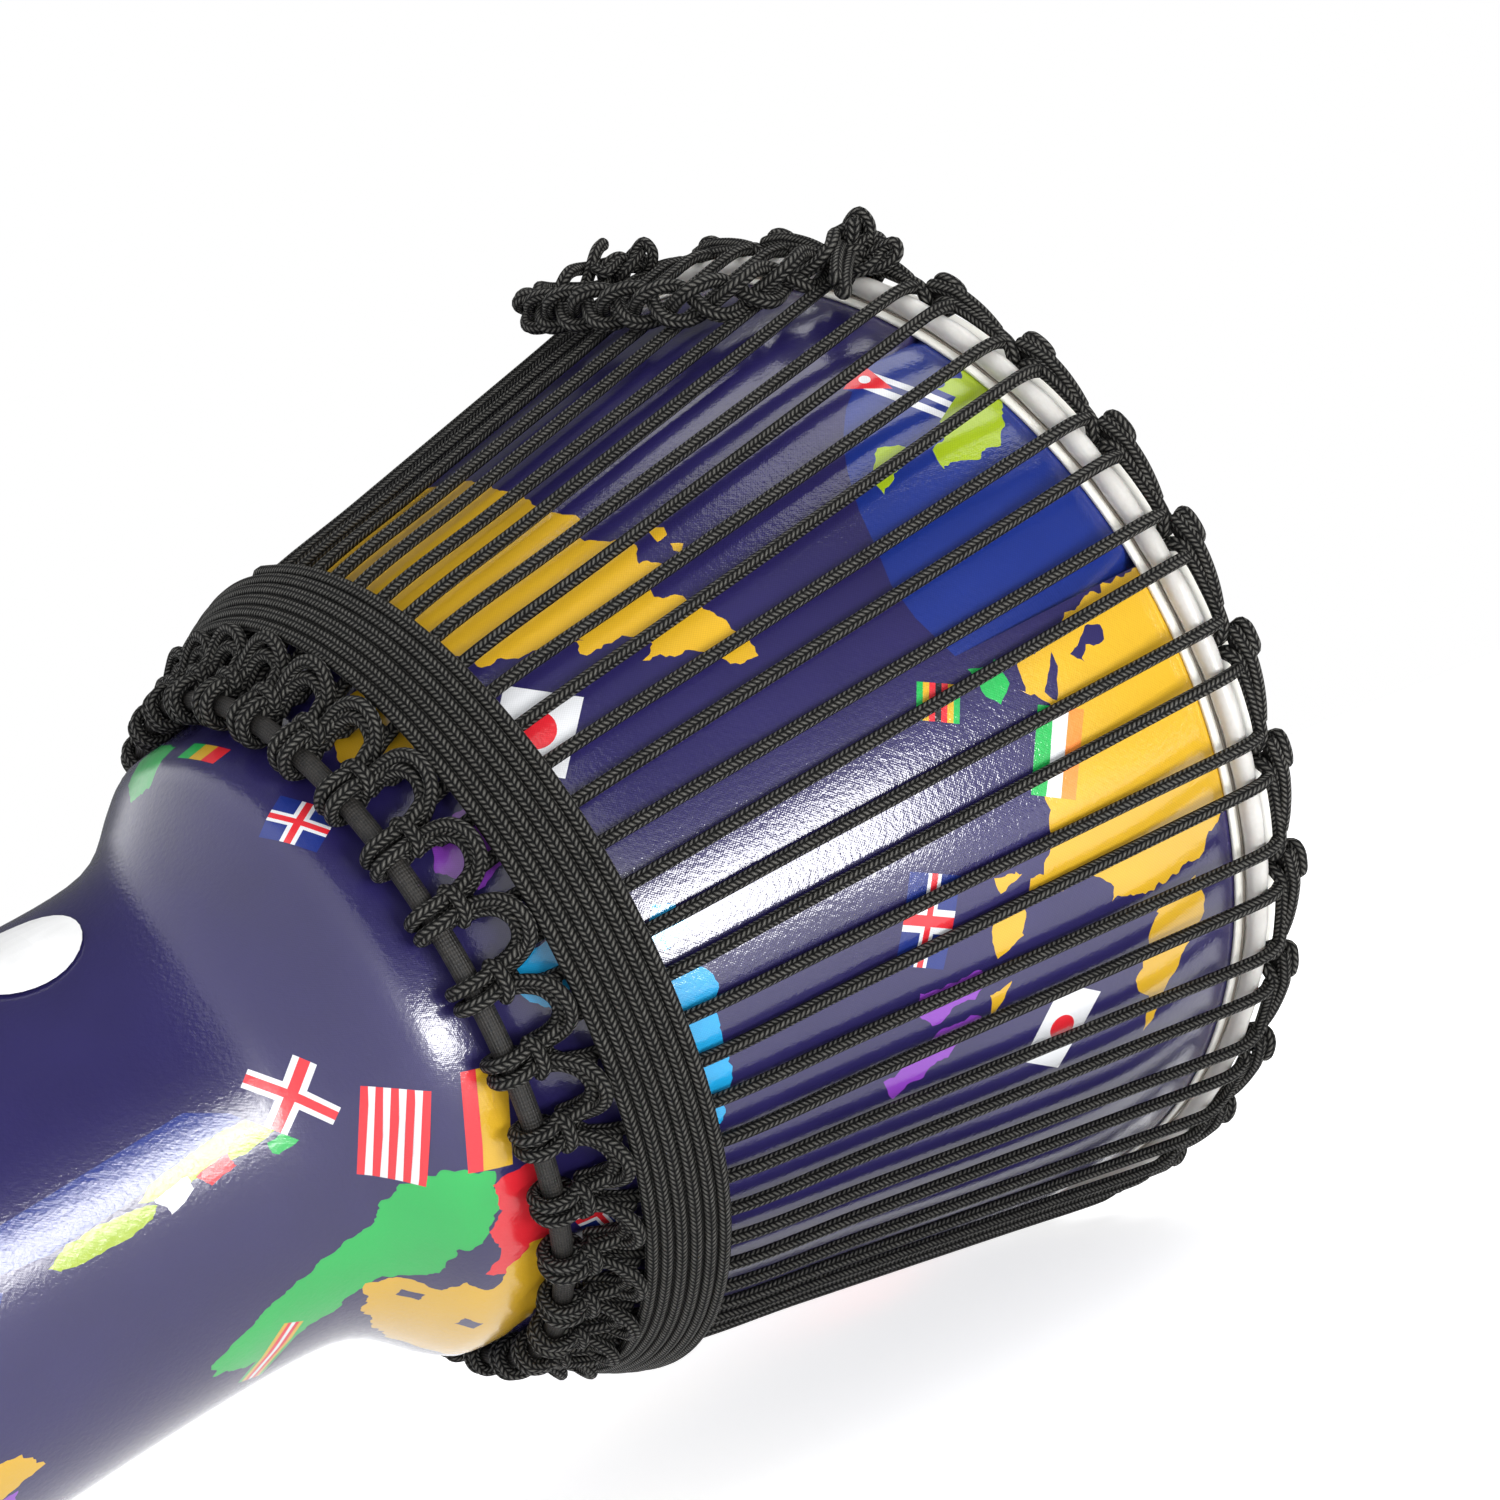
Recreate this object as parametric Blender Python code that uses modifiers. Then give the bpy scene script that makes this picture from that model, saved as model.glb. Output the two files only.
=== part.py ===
"""Rope-tuned djembe, standing upright on its foot.

Metres, +Z up. The origin is the centre of the foot, on the floor. The hand that plays it is at the top.
"""
import math

import bpy
from mathutils import Vector

NAME = "djembe"

# Driving dimensions
HEIGHT = 0.560  # floor to playing face
WALL = 0.007  # shell wall
STEPS = 40  # sides of every turned body
GAP = 0.0003  # between pieces that touch
ROPE = 0.00165  # radius of the braided rope
HITCHES = 34  # hitches round each ring
HITCH_PITCH = 360 / HITCHES
FIRST_HITCH = 235.4  # azimuth of one crown hitch, degrees
LACE_SLANT = 1.0  # how far a strand turns round the drum on its way down, degrees

ROD = 0.0015  # radius of the crown ring
LOWER_ROD = 0.0026  # radius of the lower ring, over its cloth cover
COIL = ROD + ROPE + GAP  # from a ring's centre to the centre of the rope tied round it
CROWN_RADIUS = 0.1567
CROWN_HEIGHT = HEIGHT - 0.0080
LOWER_RING_FOOT = 0.3622  # shell height that the lower ring stands square off
LOWER_COIL = LOWER_ROD + ROPE + GAP
LOWER_RING_OFFSET = LOWER_COIL + ROPE + GAP  # from the shell's surface to the lower ring's centre

COLLAR_RADIUS = 0.1512  # outside of the skin's collar
COLLAR_DROP = 0.0196  # depth of the collar below the playing face
SKIN = 0.0009
FLESH_RING = 0.0026  # radius of the hoop that the skin is lapped round
FLESH_HEIGHT = CROWN_HEIGHT - 0.0077

LACE_TOP = CROWN_HEIGHT - 0.0075
LACE_TOP_RADIUS = 0.1590  # the strands pass outside the flesh ring
LACE_OFFSET = 0.0027  # strand centre above the shell, under the wrap
WRAP_TOP = 0.3958  # shell height of the highest turn of the wrap
WRAP_BOTTOM = 0.3800
WRAP_TURNS = 5.4
WRAP_START = 198.0  # azimuth of the wrap's upper end, degrees
WRAP_OFFSET = LACE_OFFSET + 2 * ROPE + 0.0009
LACE_BOTTOM = 0.3718

HANDLE = 0.0050  # radius of the chain-plaited handle
KNOT = 0.0065
KNOT_RADIUS = 0.1690  # from the drum's axis to a knot's centre, just outside the crown ring
KNOT_HEIGHT = 0.5455
KNOT_AZIMUTHS = {"handle_knot_front": 226.6, "handle_knot_back": 193.2}
# The handle's loop from one knot to the other: azimuth, height, and distance from the drum's axis
HANDLE_ROUTE = [
    (225.7, 0.5380, 0.1678),
    (225.0, 0.5275, 0.1636),
    (224.0, 0.5180, 0.1602),
    (221.4, 0.5075, 0.1568),
    (217.4, 0.5015, 0.1550),
    (212.0, 0.4990, 0.1542),
    (205.0, 0.4985, 0.1552),
    (198.2, 0.5022, 0.1578),
    (192.6, 0.5095, 0.1625),
    (190.2, 0.5190, 0.1655),
    (190.6, 0.5290, 0.1675),
    (192.0, 0.5380, 0.1690),
]

LABEL = 0.0149  # radius of the blank round label
LABEL_AZIMUTH = 216.7
LABEL_HEIGHT = 0.2915

# Outside of the shell, from the head down to the foot: radius, height
SHELL_PROFILE = [
    (0.1482, HEIGHT - 0.0014),
    (0.1498, 0.5540),
    (0.1500, 0.5400),
    (0.1468, 0.5150),
    (0.1378, 0.4800),
    (0.1262, 0.4400),
    (0.1120, 0.3920),
    (0.1074, 0.3840),
    (0.1020, 0.3765),
    (0.0965, 0.3700),
    (0.0925, 0.3650),
    (0.0903, 0.3590),
    (0.0895, 0.3520),
    (0.0876, 0.3450),
    (0.0826, 0.3390),
    (0.0768, 0.3335),
    (0.0718, 0.3280),
    (0.0682, 0.3210),
    (0.0663, 0.3120),
    (0.0650, 0.2960),
    (0.0642, 0.2600),
    (0.0650, 0.2250),
    (0.0682, 0.1850),
    (0.0735, 0.1450),
    (0.0800, 0.1050),
    (0.0875, 0.0650),
    (0.0999, 0.0048),
]


def clear_scene():
    for item in list(bpy.data.objects):
        bpy.data.objects.remove(item, do_unlink=True)


def material(name, colour, roughness, metallic=0.0):
    made = bpy.data.materials.new(name)
    made.use_nodes = True
    shader = made.node_tree.nodes["Principled BSDF"]
    shader.inputs["Base Color"].default_value = (*colour, 1.0)
    shader.inputs["Roughness"].default_value = roughness
    shader.inputs["Metallic"].default_value = metallic
    return made


def keep(item, name, finish):
    """Name an object, give it its material and move it into the drum's collection."""
    item.name = name
    item.data.name = name
    item.data.materials.clear()
    item.data.materials.append(finish)
    for group in list(item.users_collection):
        group.objects.unlink(item)
    bpy.data.collections[NAME].objects.link(item)
    return item


def polar(azimuth, radius, height):
    angle = math.radians(azimuth)
    return Vector((radius * math.cos(angle), radius * math.sin(angle), height))


def shell_point(height, offset=0.0):
    """Radius and height of a point offset outwards from the shell, square to it, at a height on its surface."""
    for (r0, z0), (r1, z1) in zip(SHELL_PROFILE, SHELL_PROFILE[1:]):
        if z1 <= height <= z0:
            share = (z0 - height) / (z0 - z1)
            run = math.hypot(r1 - r0, z1 - z0)
            out = (z0 - z1) / run
            up = (r0 - r1) / run
            return r0 + (r1 - r0) * share + out * offset, height - up * offset
    raise ValueError("height is off the shell")


def turned(name, profile, closed, finish):
    """Turn a profile, given down its outer side, round the Z axis."""
    points = [(radius, 0.0, height) for radius, height in profile]
    edges = [(i, i + 1) for i in range(len(points) - 1)]
    if closed:
        edges.append((len(points) - 1, 0))
    mesh = bpy.data.meshes.new(name)
    mesh.from_pydata(points, edges, [])
    item = bpy.data.objects.new(name, mesh)
    bpy.context.scene.collection.objects.link(item)
    screw = item.modifiers.new("Turn", "SCREW")
    screw.steps = STEPS
    screw.render_steps = STEPS
    screw.use_merge_vertices = True
    screw.merge_threshold = 0.00005
    screw.use_smooth_shade = True
    return keep(item, name, finish)


def rope(name, points, closed, radius, sides, finish, origin=Vector((0, 0, 0))):
    """A round rope along the points: sides is 1 for six sides and 2 for eight."""
    curve = bpy.data.curves.new(name, "CURVE")
    curve.dimensions = "3D"
    curve.bevel_depth = radius
    curve.bevel_resolution = sides
    curve.use_fill_caps = not closed
    spline = curve.splines.new("POLY")
    spline.points.add(len(points) - 1)
    for target, place in zip(spline.points, points):
        target.co = (*(place - origin), 1.0)
    spline.use_cyclic_u = closed
    spline.use_smooth = True
    item = bpy.data.objects.new(name, curve)
    bpy.context.scene.collection.objects.link(item)
    item.location = origin
    return keep(item, name, finish)


def ring(name, radius, height, thickness, turn, segments, finish):
    bpy.ops.mesh.primitive_torus_add(
        major_radius=radius,
        minor_radius=thickness,
        major_segments=segments,
        minor_segments=6,
        location=(0, 0, height),
        rotation=(0, 0, math.radians(turn)),
    )
    item = bpy.context.object
    item.data.shade_smooth()
    return keep(item, name, finish)


def cradle(name, radius, height, coil, first, tilt, finish):
    """One rope hitched round a ring: a full turn at each hitch, then along the ring to the next."""
    points = []
    half = math.degrees((ROPE + GAP) / radius)
    for hitch in range(HITCHES):
        middle = first + hitch * HITCH_PITCH
        for step in range(7):
            section = math.radians(tilt + 60 * step)
            azimuth = middle + half * (step / 3 - 1)
            points.append(
                polar(azimuth, radius + coil * math.cos(section), height + coil * math.sin(section))
            )
    return rope(name, points, True, ROPE, 1, finish)


def catmull(points, steps):
    """A smooth open path through the points, with steps pieces between each two."""
    ends = [2 * points[0] - points[1]] + points + [2 * points[-1] - points[-2]]
    path = []
    for a, b, c, d in zip(ends, ends[1:], ends[2:], ends[3:]):
        for step in range(steps):
            t = step / steps
            path.append(
                0.5 * (2 * b + (c - a) * t + (2 * a - 5 * b + 4 * c - d) * t**2 + (3 * b - a - 3 * c + d) * t**3)
            )
    path.append(points[-1].copy())
    return path


def make_shell(finish):
    item = turned("shell", SHELL_PROFILE, False, finish)
    wall = item.modifiers.new("Wall", "SOLIDIFY")
    wall.thickness = WALL
    wall.offset = -1.0
    wall.use_even_offset = True
    return item


def make_foot_bumper(finish):
    profile = [
        (0.1024, 0.0110),
        (0.1030, 0.0000),
        (0.0920, 0.0000),
        (0.0920, 0.0026),
        (0.1004, 0.0026),
        (0.1004, 0.0110),
    ]
    return turned("foot_bumper", profile, True, finish)


def make_drum_skin(finish):
    inside = COLLAR_RADIUS - SKIN
    bottom = HEIGHT - COLLAR_DROP
    profile = [
        (0.0, HEIGHT),
        (0.1470, HEIGHT),
        (0.1496, HEIGHT - 0.0010),
        (COLLAR_RADIUS, HEIGHT - 0.0040),
        (COLLAR_RADIUS, bottom),
        (inside, bottom),
        (inside, HEIGHT - 0.0055),
        (0.1484, HEIGHT - SKIN),
        (0.0, HEIGHT - SKIN),
    ]
    return turned("drum_skin", profile, False, finish)


def make_rings(steel, hide):
    centre = COLLAR_RADIUS + GAP + FLESH_RING
    ring("flesh_ring", centre, FLESH_HEIGHT, FLESH_RING, 0, STEPS, hide)
    ring("crown_ring", CROWN_RADIUS, CROWN_HEIGHT, ROD, FIRST_HITCH, 2 * HITCHES, steel)
    radius, height = shell_point(LOWER_RING_FOOT, LOWER_RING_OFFSET)
    ring("lower_ring", radius, height, LOWER_ROD, lower_hitch(), 2 * HITCHES, steel)


def lower_hitch():
    """The lower hitches lie halfway between the crown's, turned by the strands' slant."""
    return FIRST_HITCH + HITCH_PITCH / 2 + LACE_SLANT


def make_lacing(finish):
    """One endless rope that zigzags between the two rings, two strands to each crown hitch."""

    def at(azimuth, height):
        return polar(azimuth, *shell_point(height, LACE_OFFSET))

    points = []
    side = HITCH_PITCH / 4
    corner = side * 0.82
    for hitch in range(HITCHES):
        middle = FIRST_HITCH + hitch * HITCH_PITCH
        low = middle + LACE_SLANT
        foot = middle + HITCH_PITCH / 2 + LACE_SLANT
        points.append(at(low - side, WRAP_BOTTOM))
        points.append(at(low - side, WRAP_TOP + 0.0010))
        points.append(polar(middle - corner, LACE_TOP_RADIUS, LACE_TOP))
        points.append(polar(middle + corner, LACE_TOP_RADIUS, LACE_TOP))
        points.append(at(low + side, WRAP_TOP + 0.0010))
        points.append(at(low + side, WRAP_BOTTOM))
        points.append(at(foot - corner, LACE_BOTTOM))
        points.append(at(foot + corner, LACE_BOTTOM))
    return rope("lacing_rope", points, True, ROPE, 1, finish)


def make_wrap(finish):
    """The spare end of the lacing, wound side by side round the strands."""
    steps = round(WRAP_TURNS * 30)
    points = []
    for step in range(steps + 1):
        share = step / steps
        height = WRAP_TOP + (WRAP_BOTTOM - WRAP_TOP) * share
        points.append(polar(WRAP_START + 360 * WRAP_TURNS * share, *shell_point(height, WRAP_OFFSET)))
    return rope("wrap_rope", points, False, ROPE, 1, finish)


def make_handle(finish):
    ends = [polar(azimuth, KNOT_RADIUS, KNOT_HEIGHT) for azimuth in KNOT_AZIMUTHS.values()]
    axis_middle = (ends[0] + ends[1]) / 2
    route = [polar(azimuth, radius, height) for azimuth, height, radius in HANDLE_ROUTE]
    rope("carry_handle", catmull(route, 2), False, HANDLE, 2, finish, axis_middle)
    for name, place in zip(KNOT_AZIMUTHS, ends):
        bpy.ops.mesh.primitive_uv_sphere_add(segments=14, ring_count=8, radius=KNOT, location=place)
        bpy.context.object.data.shade_smooth()
        keep(bpy.context.object, name, finish)


def make_label(finish):
    """A blank round sticker, bent to the stem."""
    bpy.ops.mesh.primitive_grid_add(x_subdivisions=8, y_subdivisions=8, size=2)
    item = bpy.context.object
    for vertex in item.data.vertices:
        x, y = vertex.co.x, vertex.co.y
        across = LABEL * x * math.sqrt(1 - y * y / 2)
        along = LABEL * y * math.sqrt(1 - x * x / 2)
        height = LABEL_HEIGHT + along
        radius = shell_point(height)[0] + 2 * GAP
        vertex.co = polar(LABEL_AZIMUTH + math.degrees(across / radius), radius, height)
    paper = item.modifiers.new("Paper", "SOLIDIFY")
    paper.thickness = GAP
    paper.offset = 1.0
    return keep(item, "maker_label", finish)


def main():
    clear_scene()
    group = bpy.data.collections.new(NAME)
    bpy.context.scene.collection.children.link(group)
    print_film = material("printed_shell", (0.035, 0.030, 0.115), 0.18)
    black_rope = material("black_rope", (0.012, 0.012, 0.013), 0.55)
    hide = material("white_hide", (0.80, 0.78, 0.75), 0.35)
    steel = material("ring_steel", (0.020, 0.020, 0.021), 0.50, 0.6)
    rubber = material("foot_rubber", (0.015, 0.015, 0.015), 0.80)
    paper = material("label_paper", (0.90, 0.90, 0.90), 0.40)
    make_shell(print_film)
    make_foot_bumper(rubber)
    make_drum_skin(hide)
    make_rings(steel, hide)
    cradle("crown_cradle", CROWN_RADIUS, CROWN_HEIGHT, COIL, FIRST_HITCH, -35, black_rope)
    radius, height = shell_point(LOWER_RING_FOOT, LOWER_RING_OFFSET)
    cradle("lower_cradle", radius, height, LOWER_COIL, lower_hitch(), -5, black_rope)
    make_lacing(black_rope)
    make_wrap(black_rope)
    make_handle(black_rope)
    make_label(paper)


main()
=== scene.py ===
"""Looks for the rope-tuned djembe: ropes, printed shell, head, rings, foot and a plain studio."""
import math
import random

import bmesh
import bpy
import numpy as np
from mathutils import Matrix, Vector, noise
from mathutils.geometry import delaunay_2d_cdt


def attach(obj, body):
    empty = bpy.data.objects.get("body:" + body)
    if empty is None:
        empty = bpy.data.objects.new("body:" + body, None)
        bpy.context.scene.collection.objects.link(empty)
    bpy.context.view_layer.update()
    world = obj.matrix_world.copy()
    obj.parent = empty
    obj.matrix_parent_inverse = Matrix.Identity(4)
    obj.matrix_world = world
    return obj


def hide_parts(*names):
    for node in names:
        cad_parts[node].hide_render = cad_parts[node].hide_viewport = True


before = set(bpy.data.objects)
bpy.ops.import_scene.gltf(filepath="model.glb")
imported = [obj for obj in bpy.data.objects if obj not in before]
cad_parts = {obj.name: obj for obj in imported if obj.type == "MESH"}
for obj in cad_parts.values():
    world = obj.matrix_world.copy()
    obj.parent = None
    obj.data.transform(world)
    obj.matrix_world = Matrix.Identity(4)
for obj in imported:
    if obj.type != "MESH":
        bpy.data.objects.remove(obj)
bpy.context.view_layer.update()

MM = 0.001
FULL_TURN = 2 * math.pi

# The drum's own dimensions, the same as in the CAD
HEIGHT = 0.560
WALL = 0.007
ROPE = 0.00165
HITCHES = 34
HITCH_PITCH = 360 / HITCHES
FIRST_HITCH = 235.4
LACE_SLANT = 1.0
LOWER_ROD = 0.0026
LOWER_COIL = LOWER_ROD + ROPE + 0.0003
LOWER_RING_FOOT = 0.3622
LOWER_RING_OFFSET = LOWER_COIL + ROPE + 0.0003
COLLAR_RADIUS = 0.1512
COLLAR_DROP = 0.0196
FLESH_RADIUS = 0.1541
FLESH_HEIGHT = 0.5443
FLESH_RING = 0.0026
LACE_OFFSET = 0.0027
WRAP_TOP = 0.3958
WRAP_BOTTOM = 0.3800
WRAP_TURNS = 5.4
WRAP_START = 198.0
WRAP_OFFSET = LACE_OFFSET + 2 * ROPE + 0.0009
LACE_BOTTOM = 0.3718
KNOT_RADIUS = 0.1690
KNOT_HEIGHT = 0.5455
FRONT_KNOT = 226.6
BACK_KNOT = 193.2
# The handle's line as drawn: azimuth, height, radius. It isn't the CAD's line: it is up to 8 mm away from it,
# and its ends run on to the swing axis
HANDLE_ROUTE = [
    (226.5, 0.5453, 0.1684), (226.4, 0.5425, 0.1636), (225.9, 0.5350, 0.1606), (225.0, 0.5250, 0.1594),
    (223.2, 0.5145, 0.1572), (219.4, 0.5055, 0.1554), (213.2, 0.5005, 0.1548), (206.0, 0.4990, 0.1554),
    (199.2, 0.5005, 0.1574), (193.6, 0.5065, 0.1604), (190.6, 0.5155, 0.1624), (190.4, 0.5255, 0.1634),
    (191.6, 0.5350, 0.1648), (192.9, 0.5440, 0.1682),
]
# Outside of the shell, from the head down to the foot: radius, height
SHELL_PROFILE = [
    (0.1482, 0.5586), (0.1498, 0.5540), (0.1500, 0.5400), (0.1468, 0.5150), (0.1378, 0.4800),
    (0.1262, 0.4400), (0.1120, 0.3920), (0.1074, 0.3840), (0.1020, 0.3765), (0.0965, 0.3700),
    (0.0925, 0.3650), (0.0903, 0.3590), (0.0895, 0.3520), (0.0876, 0.3450), (0.0826, 0.3390),
    (0.0768, 0.3335), (0.0718, 0.3280), (0.0682, 0.3210), (0.0663, 0.3120), (0.0650, 0.2960),
    (0.0642, 0.2600), (0.0650, 0.2250), (0.0682, 0.1850), (0.0735, 0.1450), (0.0800, 0.1050),
    (0.0875, 0.0650), (0.0999, 0.0048),
]

# The crown ring as it looks: a thin rod, bound over by the hitched rope
CROWN_RADIUS = 0.1562
CROWN_HEIGHT = 0.5516
CROWN_ROD = 0.0010


# ---------------------------------------------------------------- curves and tubes

def polar(azimuth, radius, height):
    angle = math.radians(azimuth)
    return np.array((radius * math.cos(angle), radius * math.sin(angle), height))


def smooth(points, spacing, closed=False):
    """A smooth path through the points, with a sample about every spacing metres."""
    places = np.array([tuple(point) for point in points], float)
    if closed:
        places = np.vstack([places[-1:], places, places[:2]])
    else:
        places = np.vstack([2 * places[0] - places[1], places, 2 * places[-1] - places[-2]])
    steps = np.sqrt(np.linalg.norm(np.diff(places, axis=0), axis=1))
    times = np.concatenate([[0.0], np.cumsum(steps)])
    path = []
    for i in range(1, len(places) - 2):
        a, b, c, d = places[i - 1:i + 3]
        ta, tb, tc, td = times[i - 1:i + 3]
        start = ((b - a) / (tb - ta) - (c - a) / (tc - ta) + (c - b) / (tc - tb)) * (tc - tb)
        end = ((c - b) / (tc - tb) - (d - b) / (td - tb) + (d - c) / (td - tc)) * (tc - tb)
        count = max(1, math.ceil(np.linalg.norm(c - b) / spacing))
        for k in range(count):
            t = k / count
            path.append(
                (2 * t**3 - 3 * t**2 + 1) * b + (t**3 - 2 * t**2 + t) * start
                + (3 * t**2 - 2 * t**3) * c + (t**3 - t**2) * end
            )
    if not closed:
        path.append(places[-2])
    return np.array(path)


def frames_along(path, closed):
    """Two directions square to the path at every point, carried along it without twisting."""
    if closed:
        tangents = np.roll(path, -1, 0) - np.roll(path, 1, 0)
    else:
        tangents = np.gradient(path, axis=0)
    tangents /= np.linalg.norm(tangents, axis=1)[:, None]
    normal = np.array((0.0, 0.0, 1.0))
    if abs(np.dot(normal, tangents[0])) > 0.9:
        normal = np.array((1.0, 0.0, 0.0))
    normals = np.zeros_like(path)
    for i, tangent in enumerate(tangents):
        normal = normal - np.dot(normal, tangent) * tangent
        normal /= np.linalg.norm(normal)
        normals[i] = normal
    return normals, np.cross(tangents, normals), tangents


# A rope's rounded end, tip first: how far out in radii, how thick in radii, and metres along
CAP_REACH = np.array([[0.55], [0.40]])
CAP_SIZE = np.array((0.35, 0.75))
CAP_RUN = np.array((0.001, 0.0005))


class Tubes:
    """Round tubes gathered into one mesh, with UVs of metres along and turns round."""

    def __init__(self):
        self.points, self.faces, self.uvs, self.count = [], [], [], 0

    def add(self, path, radius, sides=10, closed=False):
        path = np.asarray(path, float)
        across, up, tangents = frames_along(path, closed)
        radii = np.broadcast_to(np.asarray(radius, float), (len(path),)).copy()
        along = np.concatenate([[0.0], np.cumsum(np.linalg.norm(np.diff(path, axis=0), axis=1))])
        if not closed:
            first_tip = path[0] - tangents[0] * radii[0] * CAP_REACH
            last_tip = path[-1] + tangents[-1] * radii[-1] * CAP_REACH[::-1]
            path = np.vstack([first_tip, path, last_tip])
            across, up = (np.pad(lane, ((2, 2), (0, 0)), mode="edge") for lane in (across, up))
            radii = np.concatenate([radii[0] * CAP_SIZE, radii, radii[-1] * CAP_SIZE[::-1]])
            along = np.concatenate([along[0] - CAP_RUN, along, along[-1] + CAP_RUN[::-1]])
        twist = 0.0
        if closed:
            start = across[0] - np.dot(across[0], tangents[-1]) * tangents[-1]
            twist = math.atan2(np.dot(start, up[-1]), np.dot(start, across[-1]))
        rings = len(path)
        for i in range(rings):
            turn = 2 * math.pi * np.arange(sides) / sides + twist * i / rings
            ring = np.cos(turn)[:, None] * across[i] + np.sin(turn)[:, None] * up[i]
            self.points.extend((path[i] + ring * radii[i]).tolist())
        total = along[-1] + (np.linalg.norm(path[0] - path[-1]) if closed else 0.0)
        for i in range(rings if closed else rings - 1):
            nxt = (i + 1) % rings
            u0, u1 = along[i], total if nxt == 0 else along[nxt]
            for k in range(sides):
                m = (k + 1) % sides
                self.faces.append((
                    self.count + i * sides + k, self.count + i * sides + m,
                    self.count + nxt * sides + m, self.count + nxt * sides + k))
                v0, v1 = k / sides, (k + 1) / sides
                self.uvs.extend([(u0, v0), (u0, v1), (u1, v1), (u1, v0)])
        if not closed:
            first, last = self.count, self.count + (rings - 1) * sides
            self.faces.append(tuple(first + k for k in reversed(range(sides))))
            self.faces.append(tuple(last + k for k in range(sides)))
            self.uvs.extend([(along[0], 0.5)] * sides + [(along[-1], 0.5)] * sides)
        self.count += rings * sides

    def piece(self, name, finish, body, slot, *nodes):
        item = mesh_object(name, self.points, self.faces, [finish])
        layer = item.data.uv_layers.new(name="along")
        layer.data.foreach_set("uv", np.array(self.uvs, np.float32).ravel())
        return settle(item, body, slot, *nodes)


def mesh_object(name, points, faces, finishes):
    mesh = bpy.data.meshes.new(name)
    mesh.from_pydata([tuple(point) for point in points], [], faces)
    for finish in finishes:
        mesh.materials.append(finish)
    mesh.shade_smooth()
    item = bpy.data.objects.new(name, mesh)
    bpy.context.scene.collection.objects.link(item)
    return item


def settle(item, body, slot, *nodes):
    """Fix a piece to its body and let it stand for CAD nodes, which are hidden. The slot is not used."""
    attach(item, body)
    if nodes:
        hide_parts(*nodes)
    return item


# ---------------------------------------------------------------- the shell's surface

def fine_profile():
    outline = smooth([(radius, 0.0, height) for radius, height in SHELL_PROFILE], 0.0008)
    outline = outline[::-1, [0, 2]]
    along = np.concatenate([[0.0], np.cumsum(np.linalg.norm(np.diff(outline, axis=0), axis=1))])
    slope = np.gradient(outline, axis=0)
    slope /= np.linalg.norm(slope, axis=1)[:, None]
    outward = np.stack([slope[:, 1], -slope[:, 0]], 1)
    return outline, along, outward


OUTLINE, ARC, OUTWARD = fine_profile()
ARC_END = ARC[-1]


def arc_at(height):
    """How far up the shell's surface, from its foot, a height on it is."""
    return float(np.interp(height, OUTLINE[:, 1], ARC))


def off_shell(azimuth, arc, offset=0.0):
    """A point at a distance up the shell's surface, standing offset metres off it."""
    radius = np.interp(arc, ARC, OUTLINE[:, 0]) + offset * np.interp(arc, ARC, OUTWARD[:, 0])
    height = np.interp(arc, ARC, OUTLINE[:, 1]) + offset * np.interp(arc, ARC, OUTWARD[:, 1])
    return polar(azimuth, radius, height)


def shell_radius(height):
    return float(np.interp(height, OUTLINE[:, 1], OUTLINE[:, 0]))


# ---------------------------------------------------------------- materials

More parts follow.
